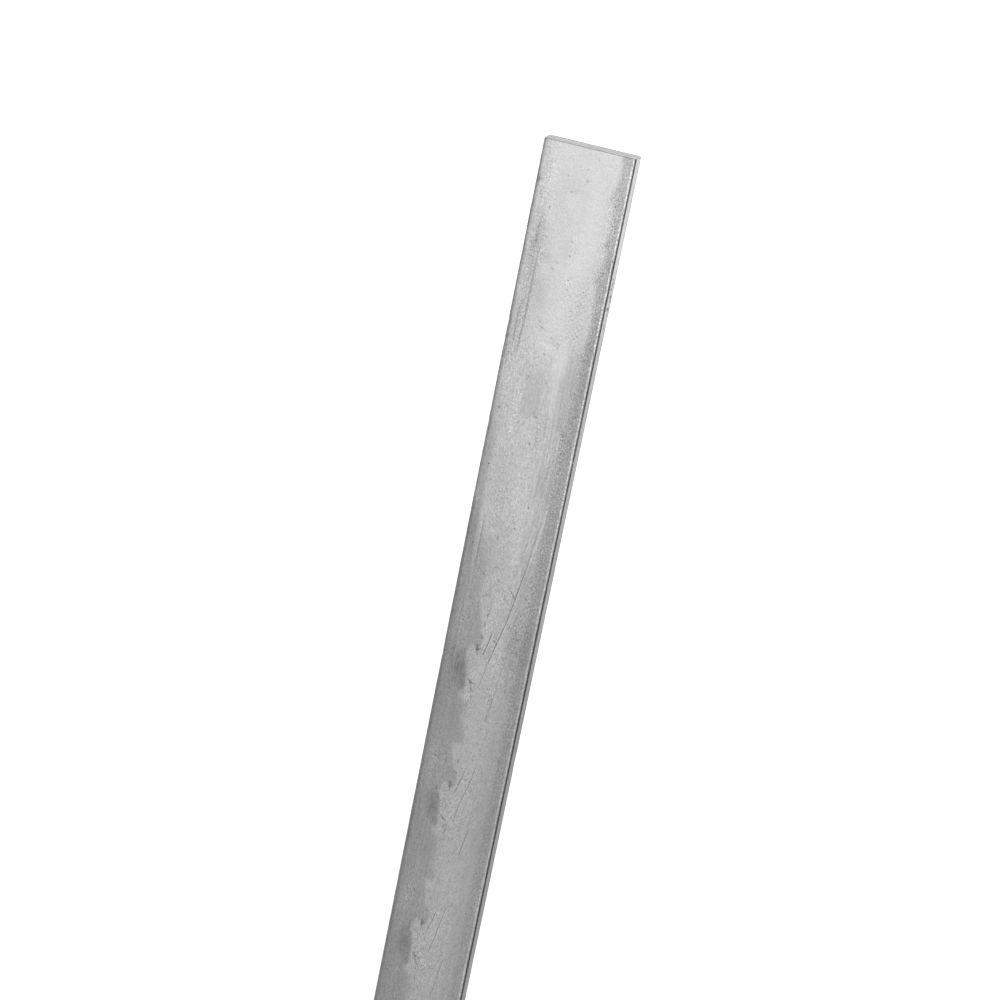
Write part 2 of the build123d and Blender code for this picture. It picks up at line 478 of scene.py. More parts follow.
# ---- short strokes, nicks and pits: face, u, c, u end, c end, half width, darkness (below 0: lighter), depth mm
MARKS = [
    # a dark run in the -Y rounding
    (TOP, 18.6, 0.12, 24.0, 0.12, 0.34, 0.42, 0.002),
    # a nick in the rounding, painted bright as a glint
    (TOP, 83.9, 24.75, 84.3, 25.4, 0.26, -1.2, 0.006),
    # faint specks and ticks beside the long scratch
    (TOP, 134.4, 17.3, 135.4, 17.2, 0.17, 0.28, 0.005), (TOP, 137.6, 19.9, 138.5, 19.8, 0.16, 0.26, 0.004), (TOP, 141.2, 20.6, 142.2, 20.7, 0.16, 0.26, 0.004), (TOP, 144.2, 17.2, 144.7, 17.5, 0.16, 0.30, 0.005),
    (TOP, 147.5, 19.5, 148.6, 19.6, 0.17, 0.24, 0.004), (TOP, 148.3, 20.9, 149.2, 20.8, 0.16, 0.24, 0.004), (TOP, 139.6, 17.9, 141.4, 17.6, 0.13, 0.22, 0.004), (TOP, 131.0, 18.9, 132.0, 18.8, 0.15, 0.26, 0.004),
    # crooked little marks beside the stained strip, and the tips that run out of it
    (TOP, 152.6, 8.9, 153.4, 9.7, 0.26, 0.34, 0.006), (TOP, 153.4, 9.5, 153.4, 11.1, 0.20, 0.36, 0.006), (TOP, 153.6, 9.8, 155.2, 10.1, 0.15, 0.36, 0.006), (TOP, 155.2, 10.1, 156.0, 10.8, 0.15, 0.34, 0.006),
    (TOP, 194.6, 8.9, 195.4, 9.7, 0.26, 0.30, 0.006), (TOP, 195.3, 9.5, 195.9, 10.6, 0.20, 0.30, 0.006), (TOP, 196.4, 10.0, 198.0, 10.3, 0.16, 0.26, 0.006), (TOP, 198.4, 11.0, 199.4, 10.6, 0.18, 0.34, 0.006),
    (TOP, 238.4, 8.9, 239.2, 9.6, 0.28, 0.36, 0.006), (TOP, 239.2, 9.6, 239.6, 11.0, 0.18, 0.30, 0.006), (TOP, 239.6, 9.7, 241.2, 10.1, 0.18, 0.38, 0.006), (TOP, 241.4, 10.3, 242.2, 11.0, 0.18, 0.34, 0.006),
    (TOP, 142.2, 9.35, 143.3, 9.75, 0.36, 0.42, 0.006), (TOP, 143.4, 9.4, 144.9, 9.95, 0.16, 0.46, 0.004), (TOP, 143.2, 10.0, 142.9, 10.6, 0.15, 0.36, 0.004),
    (TOP, 184.0, 9.5, 185.1, 9.9, 0.34, 0.38, 0.006), (TOP, 185.2, 9.5, 186.6, 10.0, 0.16, 0.44, 0.004), (TOP, 184.8, 10.2, 184.5, 10.8, 0.15, 0.30, 0.004),
    (TOP, 227.6, 9.5, 228.7, 9.8, 0.34, 0.38, 0.006), (TOP, 228.8, 9.4, 230.1, 9.9, 0.16, 0.44, 0.004), (TOP, 228.3, 10.0, 228.2, 10.7, 0.15, 0.30, 0.004),
    (TOP, 139.2, 10.1, 139.6, 10.4, 0.26, 0.32, 0.004), (TOP, 180.7, 10.1, 180.8, 10.9, 0.20, 0.26, 0.003), (TOP, 224.1, 10.2, 224.3, 10.9, 0.22, 0.36, 0.003),
    (TOP, 157.2, 10.5, 158.8, 10.6, 0.15, 0.26, 0.004), (TOP, 159.4, 9.6, 160.6, 9.8, 0.18, 0.22, 0.004), (TOP, 200.2, 10.8, 201.6, 10.9, 0.16, 0.20, 0.004), (TOP, 244.8, 10.6, 246.2, 10.8, 0.16, 0.26, 0.004),
    (TOP, 135.3, 10.35, 136.1, 10.45, 0.24, 0.36, 0.006), (TOP, 132.7, 10.5, 133.1, 10.6, 0.24, 0.30, 0.004), (TOP, 176.8, 10.6, 177.6, 10.5, 0.18, 0.30, 0.004), (TOP, 220.0, 10.6, 220.8, 10.6, 0.18, 0.30, 0.004),
    (TOP, 127.9, 8.2, 126.9, 10.2, 0.34, 0.20, 0.002), (TOP, 126.6, 8.9, 127.2, 9.1, 0.24, 0.16, 0.002),
    (TOP, 186.2, 6.0, 187.0, 6.1, 0.20, 0.34, 0.004), (TOP, 144.0, 6.1, 144.8, 6.2, 0.20, 0.26, 0.004), (TOP, 229.0, 6.0, 230.2, 6.1, 0.18, 0.30, 0.004), (TOP, 146.9, 13.0, 147.4, 13.1, 0.15, 0.30, 0.004),
    (TOP, 155.6, 15.3, 156.2, 16.2, 0.15, 0.24, 0.004), (TOP, 157.4, 15.4, 156.8, 16.4, 0.16, 0.26, 0.004), (TOP, 146.0, 16.5, 145.6, 17.8, 0.18, 0.20, 0.003), (TOP, 143.8, 17.0, 143.6, 18.0, 0.20, 0.16, 0.003),
    (TOP, 139.8, 13.8, 140.4, 14.6, 0.16, 0.30, 0.004), (TOP, 138.9, 14.0, 139.0, 14.6, 0.15, 0.20, 0.004), (TOP, 150.3, 19.8, 151.6, 19.5, 0.22, 0.20, 0.004), (TOP, 153.0, 19.6, 154.0, 19.9, 0.20, 0.22, 0.004),
    (TOP, 146.4, 20.0, 146.8, 21.0, 0.18, 0.24, 0.004), (TOP, 135.6, 19.6, 136.2, 19.3, 0.26, 0.26, 0.004), (TOP, 137.6, 20.4, 137.2, 21.4, 0.22, 0.24, 0.004), (TOP, 181.9, 13.4, 182.6, 14.0, 0.15, 0.26, 0.004),
    (TOP, 181.2, 12.9, 181.0, 13.6, 0.14, 0.24, 0.004), (TOP, 226.0, 13.8, 226.8, 14.4, 0.15, 0.30, 0.004), (TOP, 225.0, 13.2, 225.8, 13.8, 0.14, 0.26, 0.004), (TOP, 240.6, 13.7, 241.2, 14.4, 0.20, 0.26, 0.004),
    (TOP, 239.4, 13.4, 240.0, 13.6, 0.16, 0.20, 0.004), (TOP, 187.3, 17.2, 186.6, 17.6, 0.20, 0.18, 0.003), (TOP, 198.6, 13.2, 197.6, 13.0, 0.15, 0.20, 0.003),
    # crossing scribble
    (TOP, 124.4, 15.7, 126.1, 17.0, 0.17, 0.34, 0.006), (TOP, 125.4, 16.7, 126.9, 16.2, 0.15, 0.22, 0.004), (TOP, 127.6, 15.2, 128.5, 15.6, 0.18, 0.20, 0.004),
    # pits and spots
    (TOP, 2.4, 15.55, 2.4, 15.6, 0.24, 0.24, 0.010), (TOP, 8.7, 13.75, 8.8, 13.9, 0.30, 0.30, 0.012), (TOP, 5.7, 13.3, 5.6, 13.5, 0.20, 0.20, 0.006), (TOP, 8.2, 8.4, 8.4, 8.4, 0.20, 0.18, 0.004),
    (TOP, 12.6, 10.0, 12.5, 10.4, 0.24, 0.18, 0.006), (TOP, 17.75, 5.25, 17.8, 5.3, 0.20, 0.50, 0.020), (TOP, 29.3, 13.2, 29.4, 13.3, 0.26, 0.34, 0.012), (TOP, 28.0, 14.3, 28.2, 14.5, 0.20, 0.18, 0.006),
    (TOP, 25.3, 12.7, 25.4, 13.0, 0.22, 0.22, 0.006), (TOP, 21.2, 11.2, 21.3, 11.6, 0.22, 0.14, 0.004), (TOP, 33.7, 8.8, 33.8, 9.5, 0.24, 0.20, 0.006), (TOP, 31.8, 10.0, 32.1, 10.5, 0.20, 0.15, 0.004),
    (TOP, 35.7, 13.9, 35.8, 14.1, 0.20, 0.24, 0.006), (TOP, 38.2, 14.2, 38.3, 14.4, 0.20, 0.20, 0.006), (TOP, 36.4, 13.6, 36.5, 13.7, 0.18, -0.16, 0.0), (TOP, 41.8, 13.5, 41.9, 13.6, 0.22, -0.16, 0.0),
    (TOP, 39.7, 15.2, 39.8, 15.5, 0.22, 0.18, 0.006), (TOP, 49.9, 9.5, 50.1, 9.6, 0.24, 0.28, 0.008), (TOP, 48.5, 8.6, 48.7, 8.8, 0.18, 0.20, 0.004), (TOP, 54.3, 14.9, 54.6, 14.9, 0.20, 0.24, 0.006),
    (TOP, 53.2, 14.6, 53.4, 14.9, 0.18, 0.24, 0.006), (TOP, 55.0, 8.2, 55.1, 8.5, 0.22, 0.20, 0.004), (TOP, 57.0, 11.6, 57.2, 11.8, 0.24, 0.30, 0.008), (TOP, 57.7, 13.95, 57.8, 14.0, 0.18, 0.22, 0.004),
    (TOP, 66.6, 8.1, 66.7, 8.5, 0.36, -0.16, 0.0), (TOP, 64.6, 13.6, 64.7, 13.8, 0.26, 0.22, 0.006), (TOP, 63.6, 8.2, 64.4, 9.4, 0.22, 0.14, 0.004),
    (TOP, 74.3, 2.3, 74.6, 2.4, 0.20, 0.44, 0.012), (TOP, 74.4, 12.2, 74.5, 13.3, 0.20, 0.26, 0.004), (TOP, 77.3, 8.0, 77.2, 8.4, 0.20, 0.18, 0.006), (TOP, 79.0, 12.0, 79.1, 12.3, 0.30, -0.12, 0.0),
    (TOP, 77.4, 20.6, 77.9, 21.2, 0.30, 0.28, 0.008), (TOP, 79.0, 20.6, 79.0, 21.6, 0.20, 0.28, 0.006), (TOP, 82.2, 12.4, 82.4, 12.6, 0.28, 0.30, 0.010), (TOP, 88.0, 11.6, 88.1, 11.9, 0.36, -0.10, 0.0),
    (TOP, 90.4, 2.6, 90.5, 2.7, 0.20, 0.58, 0.014), (TOP, 93.8, 12.5, 93.9, 12.7, 0.22, 0.26, 0.006), (TOP, 95.2, 15.2, 95.3, 15.7, 0.24, 0.18, 0.004), (TOP, 99.7, 15.8, 99.9, 15.9, 0.24, 0.50, 0.014),
    (TOP, 106.5, 13.2, 106.7, 13.3, 0.20, 0.36, 0.010), (TOP, 106.4, 11.5, 106.6, 11.6, 0.18, 0.26, 0.006), (TOP, 110.4, 9.2, 110.6, 9.3, 0.26, 0.52, 0.014), (TOP, 113.4, 2.5, 113.6, 2.6, 0.20, 0.44, 0.012),
    (TOP, 103.0, 10.0, 103.1, 10.2, 0.28, -0.12, 0.0), (TOP, 116.0, 15.6, 116.1, 15.7, 0.30, -0.20, 0.0), (TOP, 118.6, 10.2, 118.8, 10.4, 0.20, 0.30, 0.008), (TOP, 118.7, 11.0, 118.9, 11.0, 0.18, 0.20, 0.004),
    (TOP, 122.0, 11.6, 122.4, 11.7, 0.20, 0.24, 0.004), (TOP, 121.8, 20.3, 121.9, 21.1, 0.24, 0.30, 0.006), (TOP, 125.3, 20.1, 125.6, 20.2, 0.24, 0.40, 0.010), (TOP, 124.2, 13.3, 124.4, 13.5, 0.20, 0.28, 0.006),
    (TOP, 120.8, 6.6, 121.4, 7.6, 0.26, 0.18, 0.004), (TOP, 110.2, 17.3, 110.4, 17.5, 0.20, 0.26, 0.006), (TOP, 104.4, 12.2, 105.2, 12.8, 0.18, 0.20, 0.004), (TOP, 100.6, 6.6, 99.2, 6.9, 0.20, 0.22, 0.004),
    (TOP, 103.8, 5.6, 104.4, 6.6, 0.20, 0.20, 0.004), (TOP, 134.8, 5.6, 135.0, 5.7, 0.20, 0.34, 0.008), (TOP, 135.9, 4.0, 136.1, 4.1, 0.20, 0.32, 0.008), (TOP, 134.9, 3.7, 135.1, 3.8, 0.18, 0.30, 0.008),
    (TOP, 176.0, 3.8, 176.2, 3.9, 0.18, 0.30, 0.008), (TOP, 177.3, 3.9, 177.5, 4.0, 0.20, 0.36, 0.008), (TOP, 177.9, 6.9, 178.1, 7.2, 0.20, 0.26, 0.006), (TOP, 219.3, 3.6, 219.5, 3.7, 0.18, 0.32, 0.008),
    (TOP, 219.0, 5.6, 219.5, 5.7, 0.18, 0.30, 0.008), (TOP, 220.4, 3.8, 220.5, 4.0, 0.18, 0.28, 0.008), (TOP, 158.2, 10.4, 158.3, 10.6, 0.15, 0.22, 0.004), (TOP, 191.6, 2.0, 192.0, 2.1, 0.20, 0.28, 0.006),
    (RIGHT, 33.1, 3.35, 33.2, 4.15, 0.36, 0.70, 0.012), (RIGHT, 34.4, 2.55, 34.6, 3.65, 0.38, 0.72, 0.014), (RIGHT, 35.7, 3.85, 35.6, 4.6, 0.34, 0.72, 0.014), (RIGHT, 36.1, 2.35, 36.4, 2.45, 0.30, 0.50, 0.011),
    (RIGHT, 37.9, 2.65, 38.0, 3.95, 0.44, 0.80, 0.020), (RIGHT, 39.1, 2.35, 39.2, 3.15, 0.36, 0.74, 0.016), (RIGHT, 38.9, 4.55, 39.1, 4.65, 0.30, 0.54, 0.012), (RIGHT, 41.6, 2.45, 41.4, 3.95, 0.42, 0.80, 0.020),
    (RIGHT, 43.0, 3.05, 43.2, 3.35, 0.32, 0.52, 0.012), (RIGHT, 41.0, 4.85, 41.2, 5, 0.28, 0.46, 0.011), (RIGHT, 30.8, 3.15, 31, 3.35, 0.28, 0.31, 0.009), (RIGHT, 46.9, 2.85, 46.6, 3.75, 0.34, 0.56, 0.012),
    (RIGHT, 27.4, 3.4, 27.5, 3.6, 0.26, 0.22, 0.006), (RIGHT, 49.6, 3.2, 49.9, 3.3, 0.26, 0.24, 0.006), (RIGHT, 12.0, 2.9, 12.2, 3.0, 0.24, 0.18, 0.006),
]


def near_marks(face, u, c, gap):
    for f, u0, c0, u1, c1, *_ in MARKS:
        if f == face and math.hypot((u0 + u1) / 2 - u, (c0 + c1) / 2 - c) < gap:
            return True
    return False


for face, n, span in ((TOP, 150, (256, L - 3)), (BOTTOM, 230, (3, L - 3)), (RIGHT, 44, (52, L - 3)), (LEFT, 54, (3, L - 3))):
    made = 0
    for _ in range(9000):
        if made >= n:
            break
        u0, c0 = float(rng.uniform(*span)), float(rng.uniform(1.1, ACROSS[face] - 1.1))
        if near_marks(face, u0, c0, 2.4):
            continue
        stroke = rng.random() < 0.35
        a = float(rng.uniform(0.3, 2.4)) if stroke else float(rng.uniform(0.0, 0.25))
        turn = float(rng.normal(0, 0.5))
        light = rng.random() < 0.12
        MARKS.append(
            (
                face, u0, c0, u0 + a * math.cos(turn), c0 + a * math.sin(turn),
                float(rng.uniform(0.15, 0.24) if stroke else rng.uniform(0.18, 0.36)),
                -0.14 if light else float(rng.uniform(0.18, 0.5)),
                0.0 if light else float(rng.uniform(0.004, 0.016)),
            )
        )
        made += 1


def lay_marks(sets=4):
    """Share the marks out among the sets so that marks of one set stay far apart, then chart them."""
    groups = [[] for _ in range(sets)]
    left_out = 0
    for mk in MARKS:
        face, u0, c0, u1, c1 = mk[:5]
        reach = 3.7 if (u0 + u1) / 2 < SEEN else 5.6
        half = math.hypot(u1 - u0, c1 - c0) / 2
        for g_ in groups:
            ok = True
            for o in g_:
                if abs(o[1] - u0) > 12:
                    continue
                dist = math.hypot((o[1] + o[3] - u0 - u1) / 2, wrap_p(FACE_P[o[0]]((o[2] + o[4]) / 2) - FACE_P[face]((c0 + c1) / 2)))
                if dist < reach + half * 0.7 + math.hypot(o[3] - o[1], o[4] - o[2]) * 0.35:
                    ok = False
                    break
            if ok:
                g_.append(mk)
                break
        else:
            left_out += 1
    print("marks", len(MARKS), [len(g_) for g_ in groups], "left out", left_out)
    out = []
    for g_ in groups:
        st = np.zeros((N_ALL, 3))
        st[:, 1] = 9.0
        sk = np.zeros((N_ALL, 3))
        sk[:, 0] = 0.2
        near_m = np.full(N_ALL, 9.0)
        for face, u0, c0, u1, c1, hw, k, deep in g_:
            far_ = (u0 + u1) / 2 > SEEN
            w1, w0 = (1.15, 1.7) if not far_ else (2.1, 2.9)
            mu, mc = (u0 + u1) / 2, (c0 + c1) / 2
            len_ = math.hypot(u1 - u0, c1 - c0)
            # c runs against p on the +Y edge face and the underside
            flip = -1.0 if face in (RIGHT, BOTTOM) else 1.0
            ax, ay = (1.0, 0.0) if len_ < 1e-6 else ((u1 - u0) / len_, flip * (c1 - c0) / len_)
            m = np.flatnonzero(on_skin & (np.abs(VU - mu) < len_ / 2 + w0 + 0.5))
            du, dp = VU[m] - mu, wrap_p(VP[m] - FACE_P[face](mc))
            s_, t_ = du * ax + dp * ay, -du * ay + dp * ax
            dist = np.hypot(np.maximum(np.abs(s_) - len_ / 2, 0), t_)
            take = (dist < near_m[m]) & (dist < w0 + 0.4)
            m, s_, t_, dist = m[take], s_[take], t_[take], dist[take]
            near_m[m] = dist
            w = sstep(w0, w1, dist)
            st[m] = np.stack([s_, t_, np.full(len(m), len_ / 2)], -1)
            k_ = min(1.3 * k, 0.72) if hw <= 0.2 and k > 0 and len_ < 0.5 else k
            sk[m] = np.stack([np.full(len(m), hw), k_ * w, deep * w], -1)
        out.append((st, sk))
    return out


MK = lay_marks()

# ---------------------------------------------------------------- zones
is_top = on_skin & ((VP < P_TOP1 + ARC * 0.5) | (VP > P_LEFT1 + ARC * 0.5))
is_bot = on_skin & (VP > P_RIGHT1 + ARC * 0.5) & (VP < P_BOT1 + ARC * 0.5)
# the across coordinate of a point, run on over the roundings
c_top = np.where(VP > P_RIGHT1 + ARC / 2 + 12, VP - PERIM, VP)
c_bot = (P_BOT0 + (W - R)) - np.where(VP < P_RIGHT0, VP + PERIM, VP)

# distance round the rounding from its middle: below 0 on the broad faces, above 0 on the edge faces
edge = np.full(N_ALL, -12.0)
best = np.full(N_ALL, 99.0)
for m_, s_ in ((P_TOP1 + ARC / 2, 1), (P_RIGHT1 + ARC / 2, -1), (P_BOT1 + ARC / 2, 1), (P_LEFT1 + ARC / 2, -1)):
    dd = wrap_p(VP - m_)
    take = on_skin & (np.abs(dd) < best)
    edge[take] = (dd * s_)[take]
    best[take] = np.abs(dd)[take]


def signed_to_outline(u, c, pts):
    """Distance to a run of points along u, above 0 on its -Y side. The run may double back."""
    pts = np.array(pts, float)
    a_, b_ = pts[:-1], pts[1:]
    best_d = np.full(len(u), 1e9)
    inside = np.zeros(len(u), bool)
    for (ua, ca), (ub, cb) in zip(a_, b_):
        du, dc = ub - ua, cb - ca
        t_ = np.clip(((u - ua) * du + (c - ca) * dc) / (du * du + dc * dc), 0, 1)
        best_d = np.minimum(best_d, np.hypot(u - ua - t_ * du, c - ca - t_ * dc))
        cross = (ua <= u) != (ub <= u)
        if cross.any():
            at = ca + (u - ua) / (du if abs(du) > 1e-9 else 1e-9) * dc
            inside ^= cross & (c < at)
    return np.where(inside, best_d, -best_d)


# the dark, coarse strip beside the top's +Y edge, and the paler one inside it: u, c of their inner limits
OUTER = [(-1, 22.6), (0.8, 22.1), (3, 22.0), (8, 21.9), (10, 21.2), (13, 21.4), (14.5, 22.1), (22, 22.2), (24, 21.8), (26, 22.2), (31, 22.1), (32.3, 21.6), (34.3, 21.4), (35.5, 22.1), (44, 22.4), (52, 22.3), (55, 22.0), (58, 22.4), (62, 22.0), (70, 21.8), (78, 21.4), (84, 21.0), (90, 21.0), (96, 21.3), (104, 21.6), (109, 21.4), (113, 21.2), (118, 21.3), (124, 21.5), (134, 21.6), (146, 21.8), (156, 21.5), (165, 21.5), (175, 21.4), (190, 21.6), (210, 21.4), (250, 21.6)]
INNER = [(-1, 24.5), (40, 24.0), (50, 22.6), (53, 20.8), (56, 19.6), (60, 18.4), (63, 17.8), (75, 18.2), (84, 19.4), (88, 18.2), (90, 17.3), (95, 17.2), (97, 19.6), (104, 20.8), (112, 20.3), (118, 19.0), (126, 18.2), (140, 17.8), (150, 18.8), (160, 18.9), (170, 18.6), (190, 19.0), (210, 18.8), (250, 19.0)]
# outline of the stained strip beside the -Y edge
STAIN = [
    (97, -2), (104, 0.6), (109, 3.4), (112.5, 5.6), (116, 7.2), (120, 7.9), (124, 7.5), (127, 7.3), (129, 7.2), (131, 8.0), (134, 9.0), (136, 9.3), (138.2, 9.9), (139.2, 10.7), (140.4, 10.7),
    (142.4, 10.6), (143.6, 10.3), (144.2, 9.7), (143.2, 9.2), (142.1, 8.7), (141.9, 8.0), (142.2, 7.3), (143.6, 6.9), (145.2, 6.7), (146.5, 7.1), (148.5, 7.6), (152, 7.9), (155, 8.3), (155.9, 7.6), (156.3, 6.9),
    (157.4, 7.2), (158.6, 8.3), (160.2, 9.3), (162, 9.7), (165, 9.3), (167.2, 9.4), (168.5, 10.6), (171.2, 10.9), (171.7, 9.5), (171.8, 7.7), (174.5, 8.5), (177, 9.1), (179.4, 9.6), (180.2, 10.6), (181.2, 11.2),
    (183, 10.9), (185.2, 10.4), (186.0, 9.8), (185.0, 9.2), (184.2, 8.9), (183.9, 8.2), (184.2, 7.6), (185.8, 7.2), (187.4, 6.9), (188.6, 7.1), (190.5, 7.5), (194, 7.9), (197.2, 8.2), (198.0, 7.6), (198.4, 6.9),
    (199.4, 7.2), (200.6, 8.3), (202.2, 9.3), (204.2, 9.7), (207, 9.3), (210.5, 9.4), (212, 10.6), (214.4, 10.9), (214.8, 9.5), (214.9, 7.7), (217.5, 8.5), (220.5, 9.1), (223, 9.6), (223.8, 10.6), (224.8, 11.2),
    (226.6, 10.9), (228.8, 10.4), (229.6, 9.8), (228.6, 9.2), (227.7, 8.9), (227.4, 8.2), (227.7, 7.6), (229.3, 7.2), (231.0, 6.9), (232.3, 7.1), (234.5, 7.5), (238, 7.9), (241.4, 8.2), (242.2, 7.6), (242.6, 6.9),
    (243.8, 7.2), (245, 8.3), (246.8, 9.3), (249, 9.7), (252, 9.4), (256, 9.6),
]
for q in np.arange(262, L + 14, 4.0):
    f_ = float(noise3(q / 33, 5.7, 0, 302)) * 3.0 + float(noise3(q / 8.5, 2.2, 0, 303)) * 1.4
    STAIN.append((float(q), 7.4 + f_))
for q in np.arange(262, L + 12, 9.0):
    OUTER.append((float(q), float(21.7 + 0.9 * noise3(q / 22, 1.7, 0, 301))))
    INNER.append((float(q), float(19.4 + 2.0 * noise3(q / 30, 7.7, 0, 304))))

wob = 0.30 * noise3(VU / 2.3, VY_ / 1.3, VZ_, 421)
outer = np.where(is_top, c_top - path_at(VU, OUTER) + wob, -6.0)
inner = np.where(is_top, c_top - path_at(VU, INNER) + wob, -6.0)
stain = np.full(N_ALL, -6.0)
for a0 in np.arange(90, L + 5, 20.0):
    m = np.flatnonzero(is_top & (VU >= a0) & (VU < a0 + 20))
    near_pts = [q for q in STAIN if a0 - 16 < q[0] < a0 + 36]
    lo_i, hi_i = STAIN.index(near_pts[0]), STAIN.index(near_pts[-1])
    stain[m] = signed_to_outline(VU[m], c_top[m], STAIN[lo_i : hi_i + 1])
# the underside is dirtier along both sides
b_edge = 8.0 + 3.0 * noise3(VU / 40, 3.1, 0, 441) + 1.2 * noise3(VU / 8, 4.1, 0, 442)
stain = np.where(is_bot, np.abs(c_bot - W / 2) - b_edge, stain)
outer = np.where(is_bot, np.abs(c_bot - W / 2) - 10.6 - 0.8 * noise3(VU / 15, 8.1, np.sign(c_bot - W / 2), 443), outer)
# how soft each limit is, mm
soft_outer = 0.75 + 0.5 * sstep(52, 62, VU) + 0.3 * noise3(VU / 40, 0, 0, 451)
soft_inner = 1.3
soft_stain = 2.6 - 2.2 * sstep(112, 138, VU) + 0.5 * sstep(255, 300, VU) * (1 + noise3(VU / 20, 3, 0, 452))
for u_ in (163, 206, 249):
    soft_stain = soft_stain + 1.1 * np.exp(-(((VU - u_) / 6) ** 2))
soft_stain = np.where(is_bot, 1.6, soft_stain)
outer = np.clip(outer / soft_outer, -4, 4)
inner = np.clip(inner / soft_inner, -4, 4)
ragged = 0.34 * noise3(VU / 1.5, c_top / 1.1, 0, 453) + 0.26 * noise3(VU / 3.4, c_top / 2.1, 0, 454)
stain = np.clip((stain + ragged * is_top) / soft_stain, -4, 4)
outer_k = 0.20 - 0.03 * sstep(34, 18, VU) + 0.04 * noise3(VU / 50, 1, 0, 461)
inner_k = 0.11 + 0.05 * np.exp(-(((VU - 139) / 9) ** 2)) + 0.04 * noise3(VU / 50, 4, 0, 462) * sstep(250, 280, VU)
stain_k = 0.235 + 0.07 * noise3(VU / 60, 6, 0, 463) * sstep(250, 280, VU)
stain_k = np.where(is_bot, 0.15, stain_k)

# oval stains: u, c, half length, half width, turn (rad), strength
OVALS = [
    (149.9, 5.9, 5.4, 2.3, 0.12, 0.74), (154.6, 7.2, 2.6, 1.3, 0.10, 0.55), (192.0, 5.9, 5.5, 2.2, 0.14, 0.72), (196.5, 7.1, 2.8, 1.3, 0.12, 0.58),
    (236.0, 5.9, 5.5, 2.3, 0.12, 0.74), (240.6, 7.1, 2.8, 1.3, 0.12, 0.58),
]
for q in (278, 322, 371, 447, 523, 611, 655, 742, 829, 882):
    OVALS.append((q + float(rng.uniform(-12, 12)), float(rng.uniform(4, 8)), float(rng.uniform(2.8, 6)), float(rng.uniform(1.3, 2.3)), float(rng.uniform(-0.2, 0.2)), float(rng.uniform(0.4, 0.85))))
OVALS_BELOW = [
    (float(rng.uniform(10, L - 10)), float(rng.uniform(3, W - 3)), float(rng.uniform(2.5, 8)), float(rng.uniform(1.2, 2.6)), float(rng.uniform(-0.3, 0.3)), float(rng.uniform(0.3, 0.8)))
    for _ in range(22)
]


def oval_field(items, u, c):
    out = np.full(len(u), -3.0)
    power = np.zeros(len(u))
    for u0, c0, a, b, turn, k in items:
        du, dc = u - u0, c - c0
        x_ = (du * math.cos(turn) + dc * math.sin(turn)) / a
        y_ = (-du * math.sin(turn) + dc * math.cos(turn)) / b
        f = 1 - np.sqrt(x_ * x_ + y_ * y_ + 1e-6)
        take = f > out
        out[take] = f[take]
        power[take] = k
    return np.maximum(out, -1.5), power


o_top, k_top = oval_field(OVALS, VU, c_top)
o_bot, k_bot = oval_field(OVALS_BELOW, VU, c_bot)
oval = np.where(is_top, o_top, np.where(is_bot, o_bot, -1.5))
oval_k = np.where(is_top, k_top, np.where(is_bot, k_bot, 0.0))

